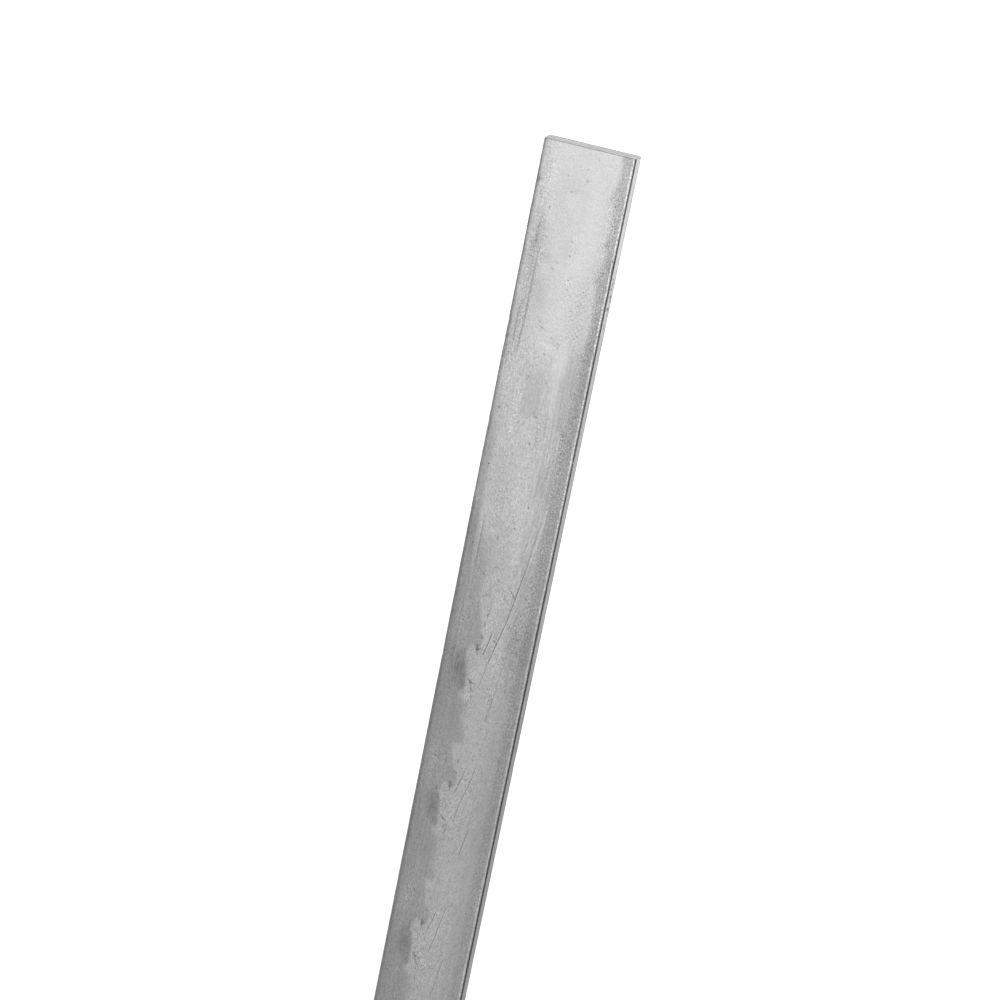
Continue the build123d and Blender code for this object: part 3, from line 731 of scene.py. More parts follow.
# soft lighter and darker clouds: u, c, half length, half width, turn, change
CLOUDS = [
    # near end
    (8, 4.5, 7, 2.6, 0, 0.02), (2.0, 22.9, 1.6, 0.9, 0, -0.05), (13, 7.6, 5, 1.4, 0, -0.035), (20, 16.5, 15, 3.6, 0, 0.035), (38, 14.5, 15, 4.4, 0, 0.065), (17, 9.0, 9, 2.4, 0, -0.015),
    (27.5, 12.0, 2.4, 2.0, 0, -0.045), (25.5, 4.0, 6.0, 2.2, 0, -0.13), (27.5, 3.4, 2.3, 0.9, 0, -0.11), (19.8, 5.4, 2.0, 0.7, 0, 0.05), (41.0, 7.6, 3.6, 1.7, 0, -0.07),
    (36, 4.0, 8, 3.0, 0, -0.09), (44.0, 3.7, 1.5, 0.6, 0, -0.10), (50, 3.0, 8, 2.6, 0, -0.07), (32.6, 6.0, 0.9, 0.6, 0, 0.08), (33.4, 21.0, 1.1, 0.7, 0.2, -0.10), (23.6, 22.0, 0.9, 0.35, 0, -0.14),
    # streak and the patches round it
    (50, 12.5, 9, 4.0, 0, 0.05), (53.5, 10.5, 2.6, 2.2, 0.0, 0.05), (56.5, 15.2, 3.6, 0.7, 0.05, 0.03),
     (66.5, 6.6, 4.0, 1.1, 0, 0.035), (74, 6.8, 7.0, 1.0, 0, 0.05), (79.2, 6.8, 2.4, 1.0, 0, 0.08), (79.0, 11.4, 2.6, 1.4, 0, 0.06),
    (83, 9.0, 7, 2.6, 0, 0.04), (75.3, 16.2, 2.2, 0.9, 0, -0.06), (79.5, 13.6, 4.5, 0.6, 0.05, -0.05), (78.2, 21.0, 1.4, 0.6, 0.1, -0.08), (93, 18.1, 3.6, 1.0, 0, -0.03), (72, 19.5, 9, 1.4, 0, 0.02),
    (59.5, 1.8, 4.0, 1.2, 0, -0.06), (66, 2.6, 4.0, 0.9, 0, 0.05), (84, 2.0, 6.0, 0.8, 0, -0.10), (97, 2.0, 12.0, 0.8, 0, -0.17), (105, 2.2, 8, 0.7, 0, -0.08), (113, 1.9, 9, 0.7, 0, -0.05),
    # middle
    (98, 13.5, 15, 4.6, 0, 0.05), (157, 6.0, 13, 4.4, 0, -0.08), (140, 19.5, 7, 2.2, 0, -0.09), (55, 11.5, 7, 2.5, 0, 0.03),
    (96, 13.0, 12, 3.2, 0, 0.08), (105, 14.5, 8, 2.0, 0.10, 0.09), (117.5, 14.7, 5.0, 0.9, 0.03, 0.16), (117.0, 15.6, 8.0, 1.4, 0.04, 0.05), (126, 13.6, 5, 1.6, 0, 0.05),
    (104.0, 7.4, 6, 1.8, 0, 0.04), (114, 7.0, 5, 2.0, 0, -0.05), (115, 11.8, 5, 1.6, 0.05, -0.03), (104.5, 23.2, 2.6, 0.9, 0, -0.06), (113.5, 23.6, 2.6, 0.8, 0, -0.07), (120.5, 23.2, 3.0, 1.0, 0, -0.05),
    (128, 5.5, 9, 2.2, 0, -0.02), (133.5, 12.0, 5.5, 1.7, 0, 0.12), (143.5, 13.6, 9, 2.8, -0.1, 0.11), (150.5, 11.0, 3.4, 1.6, 0, 0.08), (156.5, 8.8, 1.8, 0.8, 0, 0.11), (149.5, 15.6, 8, 1.6, 0, 0.05),
    (140, 22.6, 8, 1.4, 0, -0.06), (150, 22.8, 8, 1.6, 0, -0.04), (150.5, 3.4, 7, 2.0, 0, -0.10), (156, 5.0, 4.0, 2.0, 0, -0.06), (165.0, 6.4, 4.5, 2.6, 0, -0.05),
    # soft strokes of the brushing beside the long scratch
    (107.4, 19.05, 1.6, 0.34, -0.05, -0.06), (115.8, 17.45, 3.0, 0.36, -0.03, -0.07), (121.6, 16.75, 2.4, 0.24, -0.08, -0.05), (114.6, 18.3, 2.4, 0.26, -0.12, -0.05), (121.8, 19.15, 2.4, 0.38, -0.06, -0.06), (105.5, 18.1, 2.2, 0.24, -0.05, -0.05),
    (102.0, 16.9, 3.0, 0.24, 0.02, -0.035), (110.5, 16.6, 3.4, 0.24, 0, -0.035), (84.5, 17.4, 3.4, 0.24, 0.03, -0.04), (78.0, 18.3, 3.0, 0.26, 0.03, -0.04), (88.0, 19.1, 3.2, 0.26, 0.0, 0.035), (98.5, 18.9, 2.6, 0.26, 0.0, -0.045),
    # beyond
    (232, 12.7, 42, 16, 0, 0.05),
    (161, 12.6, 7, 3.0, 0, 0.05), (172.5, 13.6, 7, 3.0, 0, 0.09), (175.0, 8.6, 3.4, 0.8, 0.12, 0.08), (187, 9.0, 2.4, 1.3, 0, 0.05), (186, 13.8, 8, 2.4, -0.1, 0.12), (193, 11.0, 4, 1.8, 0, 0.05), (199.0, 9.0, 1.6, 0.8, 0, 0.10),
    (200, 14.0, 7, 3.0, 0, 0.06), (213, 14.0, 7, 3.0, 0, 0.06), (218.0, 8.8, 3.2, 0.8, 0.12, 0.10), (230.6, 9.0, 2.4, 1.3, 0, 0.06), (229, 13.8, 8, 2.4, -0.1, 0.12), (237, 11.0, 4, 1.8, 0, 0.06), (243.2, 9.0, 1.6, 0.8, 0, 0.10),
    (203, 4.4, 4.5, 1.8, 0, -0.07), (221, 2.6, 11, 2.6, 0, 0.06), (227, 12.2, 5.5, 2.0, 0, 0.05), (239, 4.4, 4.5, 1.8, 0, -0.035),
    (244, 14.0, 7, 3.0, 0, 0.08), (192.5, 3.4, 7, 2.0, 0, -0.07), (236.5, 3.6, 7, 2.0, 0, -0.07), (206.5, 6.8, 4.0, 2.2, 0, -0.05), (250, 6.6, 5, 2.4, 0, -0.04), (178, 4.5, 5, 2.0, 0, 0.03), (220, 4.5, 6, 2.0, 0, 0.03),
    (43, 1.6, 22, 1.8, 0, 0.06), (178, 1.6, 10, 2, 0, 0.10), (225, 1.4, 30, 1.6, 0, 0.09), (68, 19.2, 9, 2.4, 0, -0.03),
]
for _ in range(60):
    CLOUDS.append((float(rng.uniform(260, L - 4)), float(rng.uniform(2, W - 2)), float(rng.uniform(2, 12)), float(rng.uniform(0.6, 2.6)), float(rng.normal(0, 0.08)), float(rng.normal(0.01, 0.085))))
CLOUDS_BELOW = [
    (float(rng.uniform(4, L - 4)), float(rng.uniform(2, W - 2)), float(rng.uniform(2, 14)), float(rng.uniform(0.7, 3.0)), float(rng.normal(0, 0.08)), float(rng.normal(0, 0.09)))
    for _ in range(80)
]
SIDE_CLOUDS_AND_FALLOFF = {f: [(float(rng.uniform(0, L)), float(rng.uniform(0, T)), float(rng.uniform(4, 16)), float(rng.uniform(1.2, 3.0)), 0.0, float(rng.normal(0, 0.06))) for _ in range(44)] for f in (RIGHT, LEFT)}
# painted light on the +Y edge face: brighter near the -X end, darker further on, for the light falling off along the
# bar
SIDE_CLOUDS_AND_FALLOFF[RIGHT] += [(8, 3, 20, 5, 0, 0.10), (31, 3, 19, 7, 0, 0.20), (150, 3, 60, 6, 0, -0.12), (220, 3, 60, 6, 0, -0.10), (205, 3, 13, 6, 0, 0.08)]


def gauss_sum(items, u, c):
    out = np.zeros(len(u))
    for u0, c0, a, b, turn, k in items:
        m = np.flatnonzero(np.abs(u - u0) < 2.2 * (a + b * abs(math.sin(turn))))
        du, dc = u[m] - u0, c[m] - c0
        x_ = (du * math.cos(turn) + dc * math.sin(turn)) / a
        y_ = (-du * math.sin(turn) + dc * math.cos(turn)) / b
        out[m] += k * np.exp(-(np.abs(x_) ** 2.6) - np.abs(y_) ** 2.2)
    return out


# a pale drawn-out streak, and a faint squarish patch beside it
streak_l = path_at(VU, [(48, 15.3), (52, 15.0), (56, 14.4), (60, 14.9), (62, 15.3), (68, 15.6), (73, 16.1), (78, 16.8), (84, 17.4)])
streak_r = path_at(VU, [(48, 16.8), (52, 17.6), (56, 18.1), (60.4, 18.4), (61.4, 17.7), (62.6, 16.9), (66, 17.2), (70, 17.3), (73, 17.5), (78, 17.9), (84, 18.2)])
wig = 0.25 * noise3(VU / 3.0, c_top / 1.0, 0, 481)
streak = sstep(-0.7, 0.7, c_top - streak_l + wig) * sstep(-0.35, 0.25, streak_r - c_top + 0.4 * wig) * sstep(47, 60, VU) * (1 - sstep(66, 84, VU)) * is_top
patch = sstep(7.4, 9.0, c_top + wig) * sstep(13.35, 12.9, c_top + 0.5 * wig) * sstep(60.5, 64, VU) * sstep(74.9, 74.3, VU + 0.5 * wig) * is_top

tone = np.where(is_top, gauss_sum(CLOUDS, VU, c_top), np.where(is_bot, gauss_sum(CLOUDS_BELOW, VU, c_bot), 0.0))
tone = tone + 0.12 * streak - 0.09 * patch
tone = tone + is_top * sstep(203, 216, VU) * (0.045 * sstep(6, 9, c_top) + 0.015)
tone = tone + is_top * sstep(19.8, 21.4, c_top) * (0.045 * sstep(194, 206, VU) + 0.07 * sstep(228, 240, VU))
is_right = on_skin & (VP > P_RIGHT0 - 0.3) & (VP < P_RIGHT1 + 0.3)
is_left = on_skin & (VP > P_LEFT0 - 0.3) & (VP < P_LEFT1 + 0.3)
tone = np.where(is_right, gauss_sum(SIDE_CLOUDS_AND_FALLOFF[RIGHT], VU, VZ_), tone)
tone = np.where(is_left, gauss_sum(SIDE_CLOUDS_AND_FALLOFF[LEFT], VU, VZ_), tone)
tone = tone + np.where(on_skin, 0.02 * fbm(VU / 38, VY_ / 5, VZ_ / 5, 411, 3), 0.0)

# how coarse the frosting is, and how much it is drawn out along the bar
GRITTY = [
    # u, c, half length, half width, turn, amount
    (32, 3.2, 22, 3.0, 0, 0.95), (8, 2.2, 10, 1.8, 0, 0.7), (27, 3.6, 5, 2.0, 0, 0.6), (29.8, 5.2, 1.8, 1.2, 0, 1.2), (60, 2.0, 5.0, 1.8, 0, 1.2), (12, 21.0, 3, 1.0, 0, 1.6), (33.4, 20.8, 2.0, 1.2, 0, 1.8),
    (24.5, 19.4, 2.2, 2.0, 0, 0.6), (26.5, 13.4, 3.0, 1.4, 0, 0.35), (36.8, 14.0, 2.2, 1.4, 0, 0.8), (43, 18.6, 8, 1.8, 0, 0.6), (49.4, 9.2, 1.4, 1.2, 0, 1.2), (54, 14.4, 1.4, 1.3, 0, 1.2), (54.0, 20.0, 1.6, 1.6, 0, 1.0),
    (52.0, 6.0, 5.0, 2.2, 0, 0.5), (63.6, 8.8, 1.6, 1.6, 0, 0.8), (71, 6.8, 9, 1.4, 0, 1.0), (79.5, 7.2, 3, 1.6, 0, 0.6), (75.4, 16.4, 2.2, 1.2, 0, 1.6), (79.5, 13.6, 4.5, 1.0, 0, 0.9), (81.5, 15.6, 3, 1.6, 0, 0.7),
    (79.5, 20.8, 4.5, 1.2, 0, 1.1), (100.5, 7.6, 4.5, 2.2, 0, 1.3), (105, 12.6, 2.2, 1.8, 0, 0.6), (111.3, 9.8, 2.2, 1.4, 0, 1.2), (121, 7.0, 2.4, 2.0, 0, 0.9), (123, 11.0, 5.0, 3.6, 0, 0.7), (127, 15.8, 3.2, 2.2, 0, 1.2),
    (112.5, 21.4, 2.6, 1.4, 0, 1.2), (121.8, 20.8, 2.8, 1.0, 0, 1.2), (127.6, 21.6, 4, 2.0, 0, 0.9), (136, 19.8, 3, 1.8, 0, 1.4), (134.5, 12.8, 4, 2.0, 0, 0.2), (135.5, 4.6, 2.2, 1.6, 0, 1.3), (145.4, 17.0, 3, 1.2, 0, 1.3),
    (141, 14.0, 4, 1.6, 0, 0.45), (151.5, 19.8, 3.6, 1.4, 0, 1.0), (148.5, 9.2, 3.6, 1.6, 0, 0.9), (157.0, 9.6, 3.6, 1.4, 0, 1.1), (160.5, 22.8, 4.0, 1.6, 0, 1.4), (156.5, 15.8, 2.6, 1.4, 0, 0.9),
    (178.0, 5.2, 5.0, 2.6, 0, 0.9), (176.5, 22.4, 3.5, 1.6, 0, 1.3), (181.5, 13.4, 2.8, 1.6, 0, 0.9), (189.5, 9.6, 4.5, 1.8, 0, 1.2), (198, 11.2, 4.5, 2.4, 0, 1.1), (220.5, 4.8, 4.5, 2.4, 0, 1.0), (211.5, 22.9, 2.8, 1.4, 0, 1.5),
    (225.8, 13.6, 3, 1.6, 0, 0.9), (230.8, 22.8, 3.0, 1.6, 0, 1.1), (233, 9.8, 4.5, 1.8, 0, 0.9), (241.5, 12.6, 4.5, 2.6, 0, 1.2), (187, 17.0, 3, 1.4, 0, 0.7),
    (18, 21.8, 8, 1.0, 0, 1.2), (30, 21.6, 8, 1.0, 0, 1.0), (45, 21.6, 8, 1.0, 0, 0.9),
    (62, 21.6, 10, 1.2, 0, 0.9), (80, 20.9, 12, 1.6, 0, 0.5), (95, 21.6, 14, 1.1, 0, 0.7), (130, 21.6, 18, 1.1, 0, 0.9), (162, 21.6, 14, 1.0, 0, 0.7),
    (128, 19.4, 9, 2.2, 0, 0.6), (142, 19.6, 9, 2.4, 0, 0.9), (91, 19.4, 7, 1.4, 0, 0.7),
]
for _ in range(70):
    GRITTY.append((float(rng.uniform(258, L - 4)), float(rng.uniform(1.5, W - 1.5)), float(rng.uniform(1.5, 7)), float(rng.uniform(1.0, 2.6)), 0.0, float(rng.uniform(0.4, 1.5))))
GRITTY_BELOW = [(float(rng.uniform(4, L - 4)), float(rng.uniform(1.5, W - 1.5)), float(rng.uniform(2, 10)), float(rng.uniform(1.0, 3.2)), 0.0, float(rng.uniform(0.4, 1.5))) for _ in range(90)]
SMOOTH = [(21.5, 16.5, 12, 3.2, 0, -0.30), (44, 11.8, 5, 2.6, 0, -0.25), (27.5, 10.2, 3.0, 1.6, 0, -0.25), (72.2, 10.8, 2.6, 2.0, 0, -0.30), (60, 16.2, 4, 1.6, 0, -0.25), (159, 18.8, 5, 1.4, 0, -0.5), (104, 16.0, 5, 2.4, 0, -0.25), (171, 13.8, 4, 2.4, 0, -0.3), (87, 11.5, 12, 5.0, 0, -0.30), (103, 14.0, 9, 3.6, 0, -0.28), (118, 14.6, 8, 3.0, 0, -0.20)]
grit = np.where(is_top, 1.0 + gauss_sum(GRITTY + SMOOTH, VU, c_top), np.where(is_bot, 1.2 + gauss_sum(GRITTY_BELOW, VU, c_bot), 1.3 + 0.9 * sstep(48, 66, VU)))
grit = grit + np.where(is_top, 0.35 * sstep(48, 62, VU), 0.0)
grit = grit + np.where(is_top, 1.1 * sstep(6.5, 3.5, c_top) * sstep(300, 240, VU) * (1 - 0.55 * sstep(45, 75, VU)), 0.0) * 0.5
brushed = sstep(50, 60, VU) * sstep(150, 128, VU) * sstep(13.8, 15.8, c_top) * sstep(22.2, 20.8, c_top) * is_top
grit = grit - 0.8 * streak - 0.5 * patch - 0.30 * brushed
grit = grit * (1 - is_top * (0.24 * sstep(192, 200, VU) * sstep(17.5, 19.5, c_top) + 0.20 * sstep(195, 200, VU) * sstep(223, 218, VU) * sstep(19.5, 17.5, c_top)))
grit = np.clip(grit, 0.35, 4.0)
drawn = np.where(is_top, sstep(44, 60, VU), np.where(is_bot, 0.9, 0.7))
drawn = np.where(is_top, np.maximum(drawn, 0.8 * sstep(16, 26, VU) * sstep(7.0, 4.0, c_top)), drawn)
drawn = drawn * (1 + 0.35 * noise3(VU / 60, VY_ / 6, VZ_ / 4, 471)) * (1 - 0.5 * streak)

flow = np.where(is_top, -1.2 * sstep(50, 60, VU) * sstep(98, 82, VU) * sstep(9, 15, c_top) * sstep(24, 17.5, c_top) * (VU - 62) / 22, 0.0)
flow = flow + 0.5 * noise3(VU / 60, VY_ / 7, VZ_ / 7, 401)
# where the fine lines run slantwise across the face instead
slant = sstep(102, 112, VU) * sstep(11.5, 15.0, c_top) * sstep(23.0, 20.0, c_top) * sstep(270, 245, VU)
slant = slant + sstep(0.25, 0.45, noise3(VU / 55, c_top / 9, 0, 402)) * sstep(262, 290, VU)
slant = np.where(is_top, slant, np.where(is_bot, sstep(0.3, 0.5, noise3(VU / 60, c_bot / 9, 0, 403)), 0.0))
strip_grit = np.where(is_top, (3.0 - 1.0 * sstep(50, 60, VU) - 1.0 * sstep(14, 9, VU)) * (1 - 0.52 * sstep(95, 135, VU)), 1.6)

chatter = np.where(is_top, np.exp(-(((VU - 43.5) / 8.5) ** 6) - ((c_top - 18.3) / 2.0) ** 4), 0.0)
# how strongly the long fine lines of rolling show
striae = 0.12 + 0.25 * sstep(44, 56, VU)
striae = striae + 1.25 * brushed
striae = striae + 0.75 * sstep(14, 24, VU) * sstep(135, 115, VU) * sstep(1.0, 1.8, c_top) * sstep(5.6, 4.6, c_top)
striae = striae + (0.35 * sstep(140, 160, VU) + 0.45 * sstep(180, 200, VU)) * sstep(12, 14.5, c_top) + 1.0 * sstep(104, 118, VU) * sstep(9.5, 7.5, c_top)
striae = np.where(is_top, striae, 0.5) * (1 + 0.4 * noise3(VU / 30, c_top / 4, 0, 491))
striae = striae + 0.4 * streak
striae = striae + 0.45 * sstep(70, 84, VU) * sstep(130, 118, VU) * sstep(14.0, 16.0, c_top) * sstep(21.0, 19.5, c_top) * is_top
side_w = np.where(on_skin, sstep(0.5, 1.0, edge), 0.0)
# painted shade: the worn rounding at each cut end is darkened into a dark line
rim = np.zeros(N_ALL)
ring_w = (0.5, 1.0, 1.0, 0.9, 0.45, 0.12)  # from the flat of the cut outwards
for i, w_ in enumerate(ring_w):
    rim[i * NLOOP : (i + 1) * NLOOP] = w_
    rim[(n_rows - 1 - i) * NLOOP : (n_rows - i) * NLOOP] = w_
end_near = np.where(on_skin, np.minimum(np.minimum(VU_TRUE, L - VU_TRUE), 30.0), 0.0)

mesh = bpy.data.meshes.new("flat_bar_skin")
mesh.vertices.add(len(allv))
mesh.vertices.foreach_set("co", (allv / 1000.0).astype(np.float32).ravel())
mesh.loops.add(len(faces) * 4)
mesh.loops.foreach_set("vertex_index", faces.astype(np.int32).ravel())
mesh.polygons.add(len(faces))
mesh.polygons.foreach_set("loop_start", np.arange(0, len(faces) * 4, 4, dtype=np.int32))
mesh.polygons.foreach_set("use_smooth", np.ones(len(faces), bool))
mesh.polygons.foreach_set("material_index", np.repeat([0, 1], [n_skin, 2 * n_cap]).astype(np.int32))

# ---- one flat map for both materials: the skin in four lengthwise strips, then the two cuts
PX = 4.0 / 1024.0
GAP = 6.0 / 1024.0
cuts = [0] + [int(np.argmin(np.abs(row_arc - L * k / 4))) for k in (1, 2, 3)] + [n_rows - 1]
seam = int(np.argmin(np.abs(PP[0] - (P_BOT0 + P_BOT1) / 2)))
round_p = (PP[0] - PP[0][seam]) % PERIM
uv = np.zeros((len(faces), 4, 2))
for k in range(4):
    for r_ in range(cuts[k], cuts[k + 1]):
        f_ = slice(r_ * NLOOP, (r_ + 1) * NLOOP)
        v0 = round_p
        v1 = v0 + (np.roll(round_p, -1) - round_p) % PERIM
        x0 = (row_arc[r_] - row_arc[cuts[k]]) * PX + GAP
        x1 = (row_arc[r_ + 1] - row_arc[cuts[k]]) * PX + GAP
        base_v = GAP + k * (PERIM * PX + GAP)
        uv[f_, 0] = np.stack([np.full(NLOOP, x0), base_v + v0 * PX], -1)
        uv[f_, 1] = np.stack([np.full(NLOOP, x1), base_v + v0 * PX], -1)
        uv[f_, 2] = np.stack([np.full(NLOOP, x1), base_v + v1 * PX], -1)
        uv[f_, 3] = np.stack([np.full(NLOOP, x0), base_v + v1 * PX], -1)
END_PX = 8.0 / 1024.0
for k, f_ in enumerate((slice(n_skin, n_skin + n_cap), slice(n_skin + n_cap, n_skin + 2 * n_cap))):
    co = allv[faces[f_]]
    side = -1 if k == 0 else 1
    uv[f_, :, 0] = (L / 4) * PX + 4 * GAP + co[..., 2] * END_PX
    uv[f_, :, 1] = GAP * 3 + k * 0.25 + (co[..., 1] * side + W / 2) * END_PX
layer = mesh.uv_layers.new(name="OFBake")
layer.data.foreach_set("uv", uv.astype(np.float32).ravel())

mesh.update(calc_edges=True)
bar = bpy.data.objects.new("flat_bar_metal", mesh)
bpy.context.scene.collection.objects.link(bar)


def put_attr(name, values):
    a_ = mesh.attributes.new(name, "FLOAT", "POINT")
    a_.data.foreach_set("value", np.ascontiguousarray(values, dtype=np.float32))


def put_vec(name, values):
    a_ = mesh.attributes.new(name, "FLOAT_VECTOR", "POINT")
    a_.data.foreach_set("vector", np.ascontiguousarray(values, dtype=np.float32).ravel())


put_vec("line1", np.stack([S1[0], S1[1], S1[2]], -1))
put_vec("line2", np.stack([S2[0], S2[1], S2[2]], -1))
put_vec("line_deep", np.stack([S1[3], S2[3], rim], -1))
for i, (st_, sk_) in enumerate(MK):
    put_vec("mark%d" % i, st_)
    put_vec("mark%d_k" % i, sk_)
put_vec("fields", np.stack([outer, inner, stain], -1))
put_vec("powers", np.stack([outer_k, inner_k, stain_k], -1))
put_vec("ovals", np.stack([oval, oval_k, tone], -1))
put_vec("places", np.stack([edge, flow, slant], -1))
put_vec("amounts", np.stack([grit, drawn, chatter], -1))
put_vec("sides", np.stack([side_w, striae, strip_grit], -1))

tri = allv[faces]
vol = np.einsum("ij,ij->i", tri[:, 0], np.cross(tri[:, 1], tri[:, 2])).sum() + np.einsum(
    "ij,ij->i", tri[:, 0], np.cross(tri[:, 2], tri[:, 3])
).sum()
if vol < 0:
    mesh.flip_normals()
print("faces", len(faces), "triangles", len(faces) * 2, "volume mm3", vol / 6)


# ---------------------------------------------------------------- material
class Nodes:
    """A few shorthands for building a node tree. Numbers and sockets can be mixed as inputs."""

    def __init__(self, name):
        self.mat = bpy.data.materials.new(name)
        self.mat.use_nodes = True
        self.t = self.mat.node_tree
        self.bsdf = self.t.nodes["Principled BSDF"]

    def node(self, kind, **kw):
        n = self.t.nodes.new(kind)
        for k, v in kw.items():
            setattr(n, k, v)
        return n

    def put(self, socket, v):
        if isinstance(v, (int, float)):
            socket.default_value = v
        elif isinstance(v, tuple):
            socket.default_value = v
        else:
            self.t.links.new(v, socket)

    def m(self, op, a_, b_=None, c_=None, clamp=False):
        n = self.node("ShaderNodeMath", operation=op, use_clamp=clamp)
        for i, v in enumerate((a_, b_, c_)):
            if v is not None:
                self.put(n.inputs[i], v)
        return n.outputs[0]

    def add(self, *v):
        out = v[0]
        for q in v[1:]:
            out = self.m("ADD", out, q)
        return out

    def mul(self, *v):
        out = v[0]
        for q in v[1:]:
            out = self.m("MULTIPLY", out, q)
        return out

    def sub(self, a_, b_):
        return self.m("SUBTRACT", a_, b_)

    def ramp(self, x, a_, b_, c_=0.0, d_=1.0):
        n = self.node("ShaderNodeMapRange", interpolation_type="SMOOTHSTEP")
        self.put(n.inputs["Value"], x)
        for k, v in zip(("From Min", "From Max", "To Min", "To Max"), (a_, b_, c_, d_)):
            self.put(n.inputs[k], v)
        return n.outputs["Result"]

    def mix(self, a_, b_, t_):
        return self.add(a_, self.mul(self.sub(b_, a_), t_))

    def split(self, v):
        n = self.node("ShaderNodeSeparateXYZ")
        self.put(n.inputs[0], v)
        return n.outputs

    def vec(self, x, y, z):
        n = self.node("ShaderNodeCombineXYZ")
        for i, v in enumerate((x, y, z)):
            self.put(n.inputs[i], v)
        return n.outputs[0]

    def attr(self, name, vector=False):
        n = self.node("ShaderNodeAttribute", attribute_name=name, attribute_type="GEOMETRY")
        return n.outputs["Vector" if vector else "Fac"]

    def noise(self, v, scale, detail=2.0, rough=0.5, warp=0.0):
        """Noise centred on 0, about -1 to 1."""
        n = self.node("ShaderNodeTexNoise", noise_dimensions="3D")
        self.put(n.inputs["Vector"], v)
        n.inputs["Scale"].default_value = scale
        n.inputs["Detail"].default_value = detail
        n.inputs["Roughness"].default_value = rough
        n.inputs["Distortion"].default_value = warp
        return self.m("MULTIPLY_ADD", n.outputs["Fac"], 4.0, -2.0)

    def cells(self, v, scale, feature="F1", jitter=1.0):
        n = self.node("ShaderNodeTexVoronoi", voronoi_dimensions="3D", feature=feature)
        self.put(n.inputs["Vector"], v)
        n.inputs["Scale"].default_value = scale
        n.inputs["Randomness"].default_value = jitter
        return n


BASE = 0.62  # bare, mill-finished steel


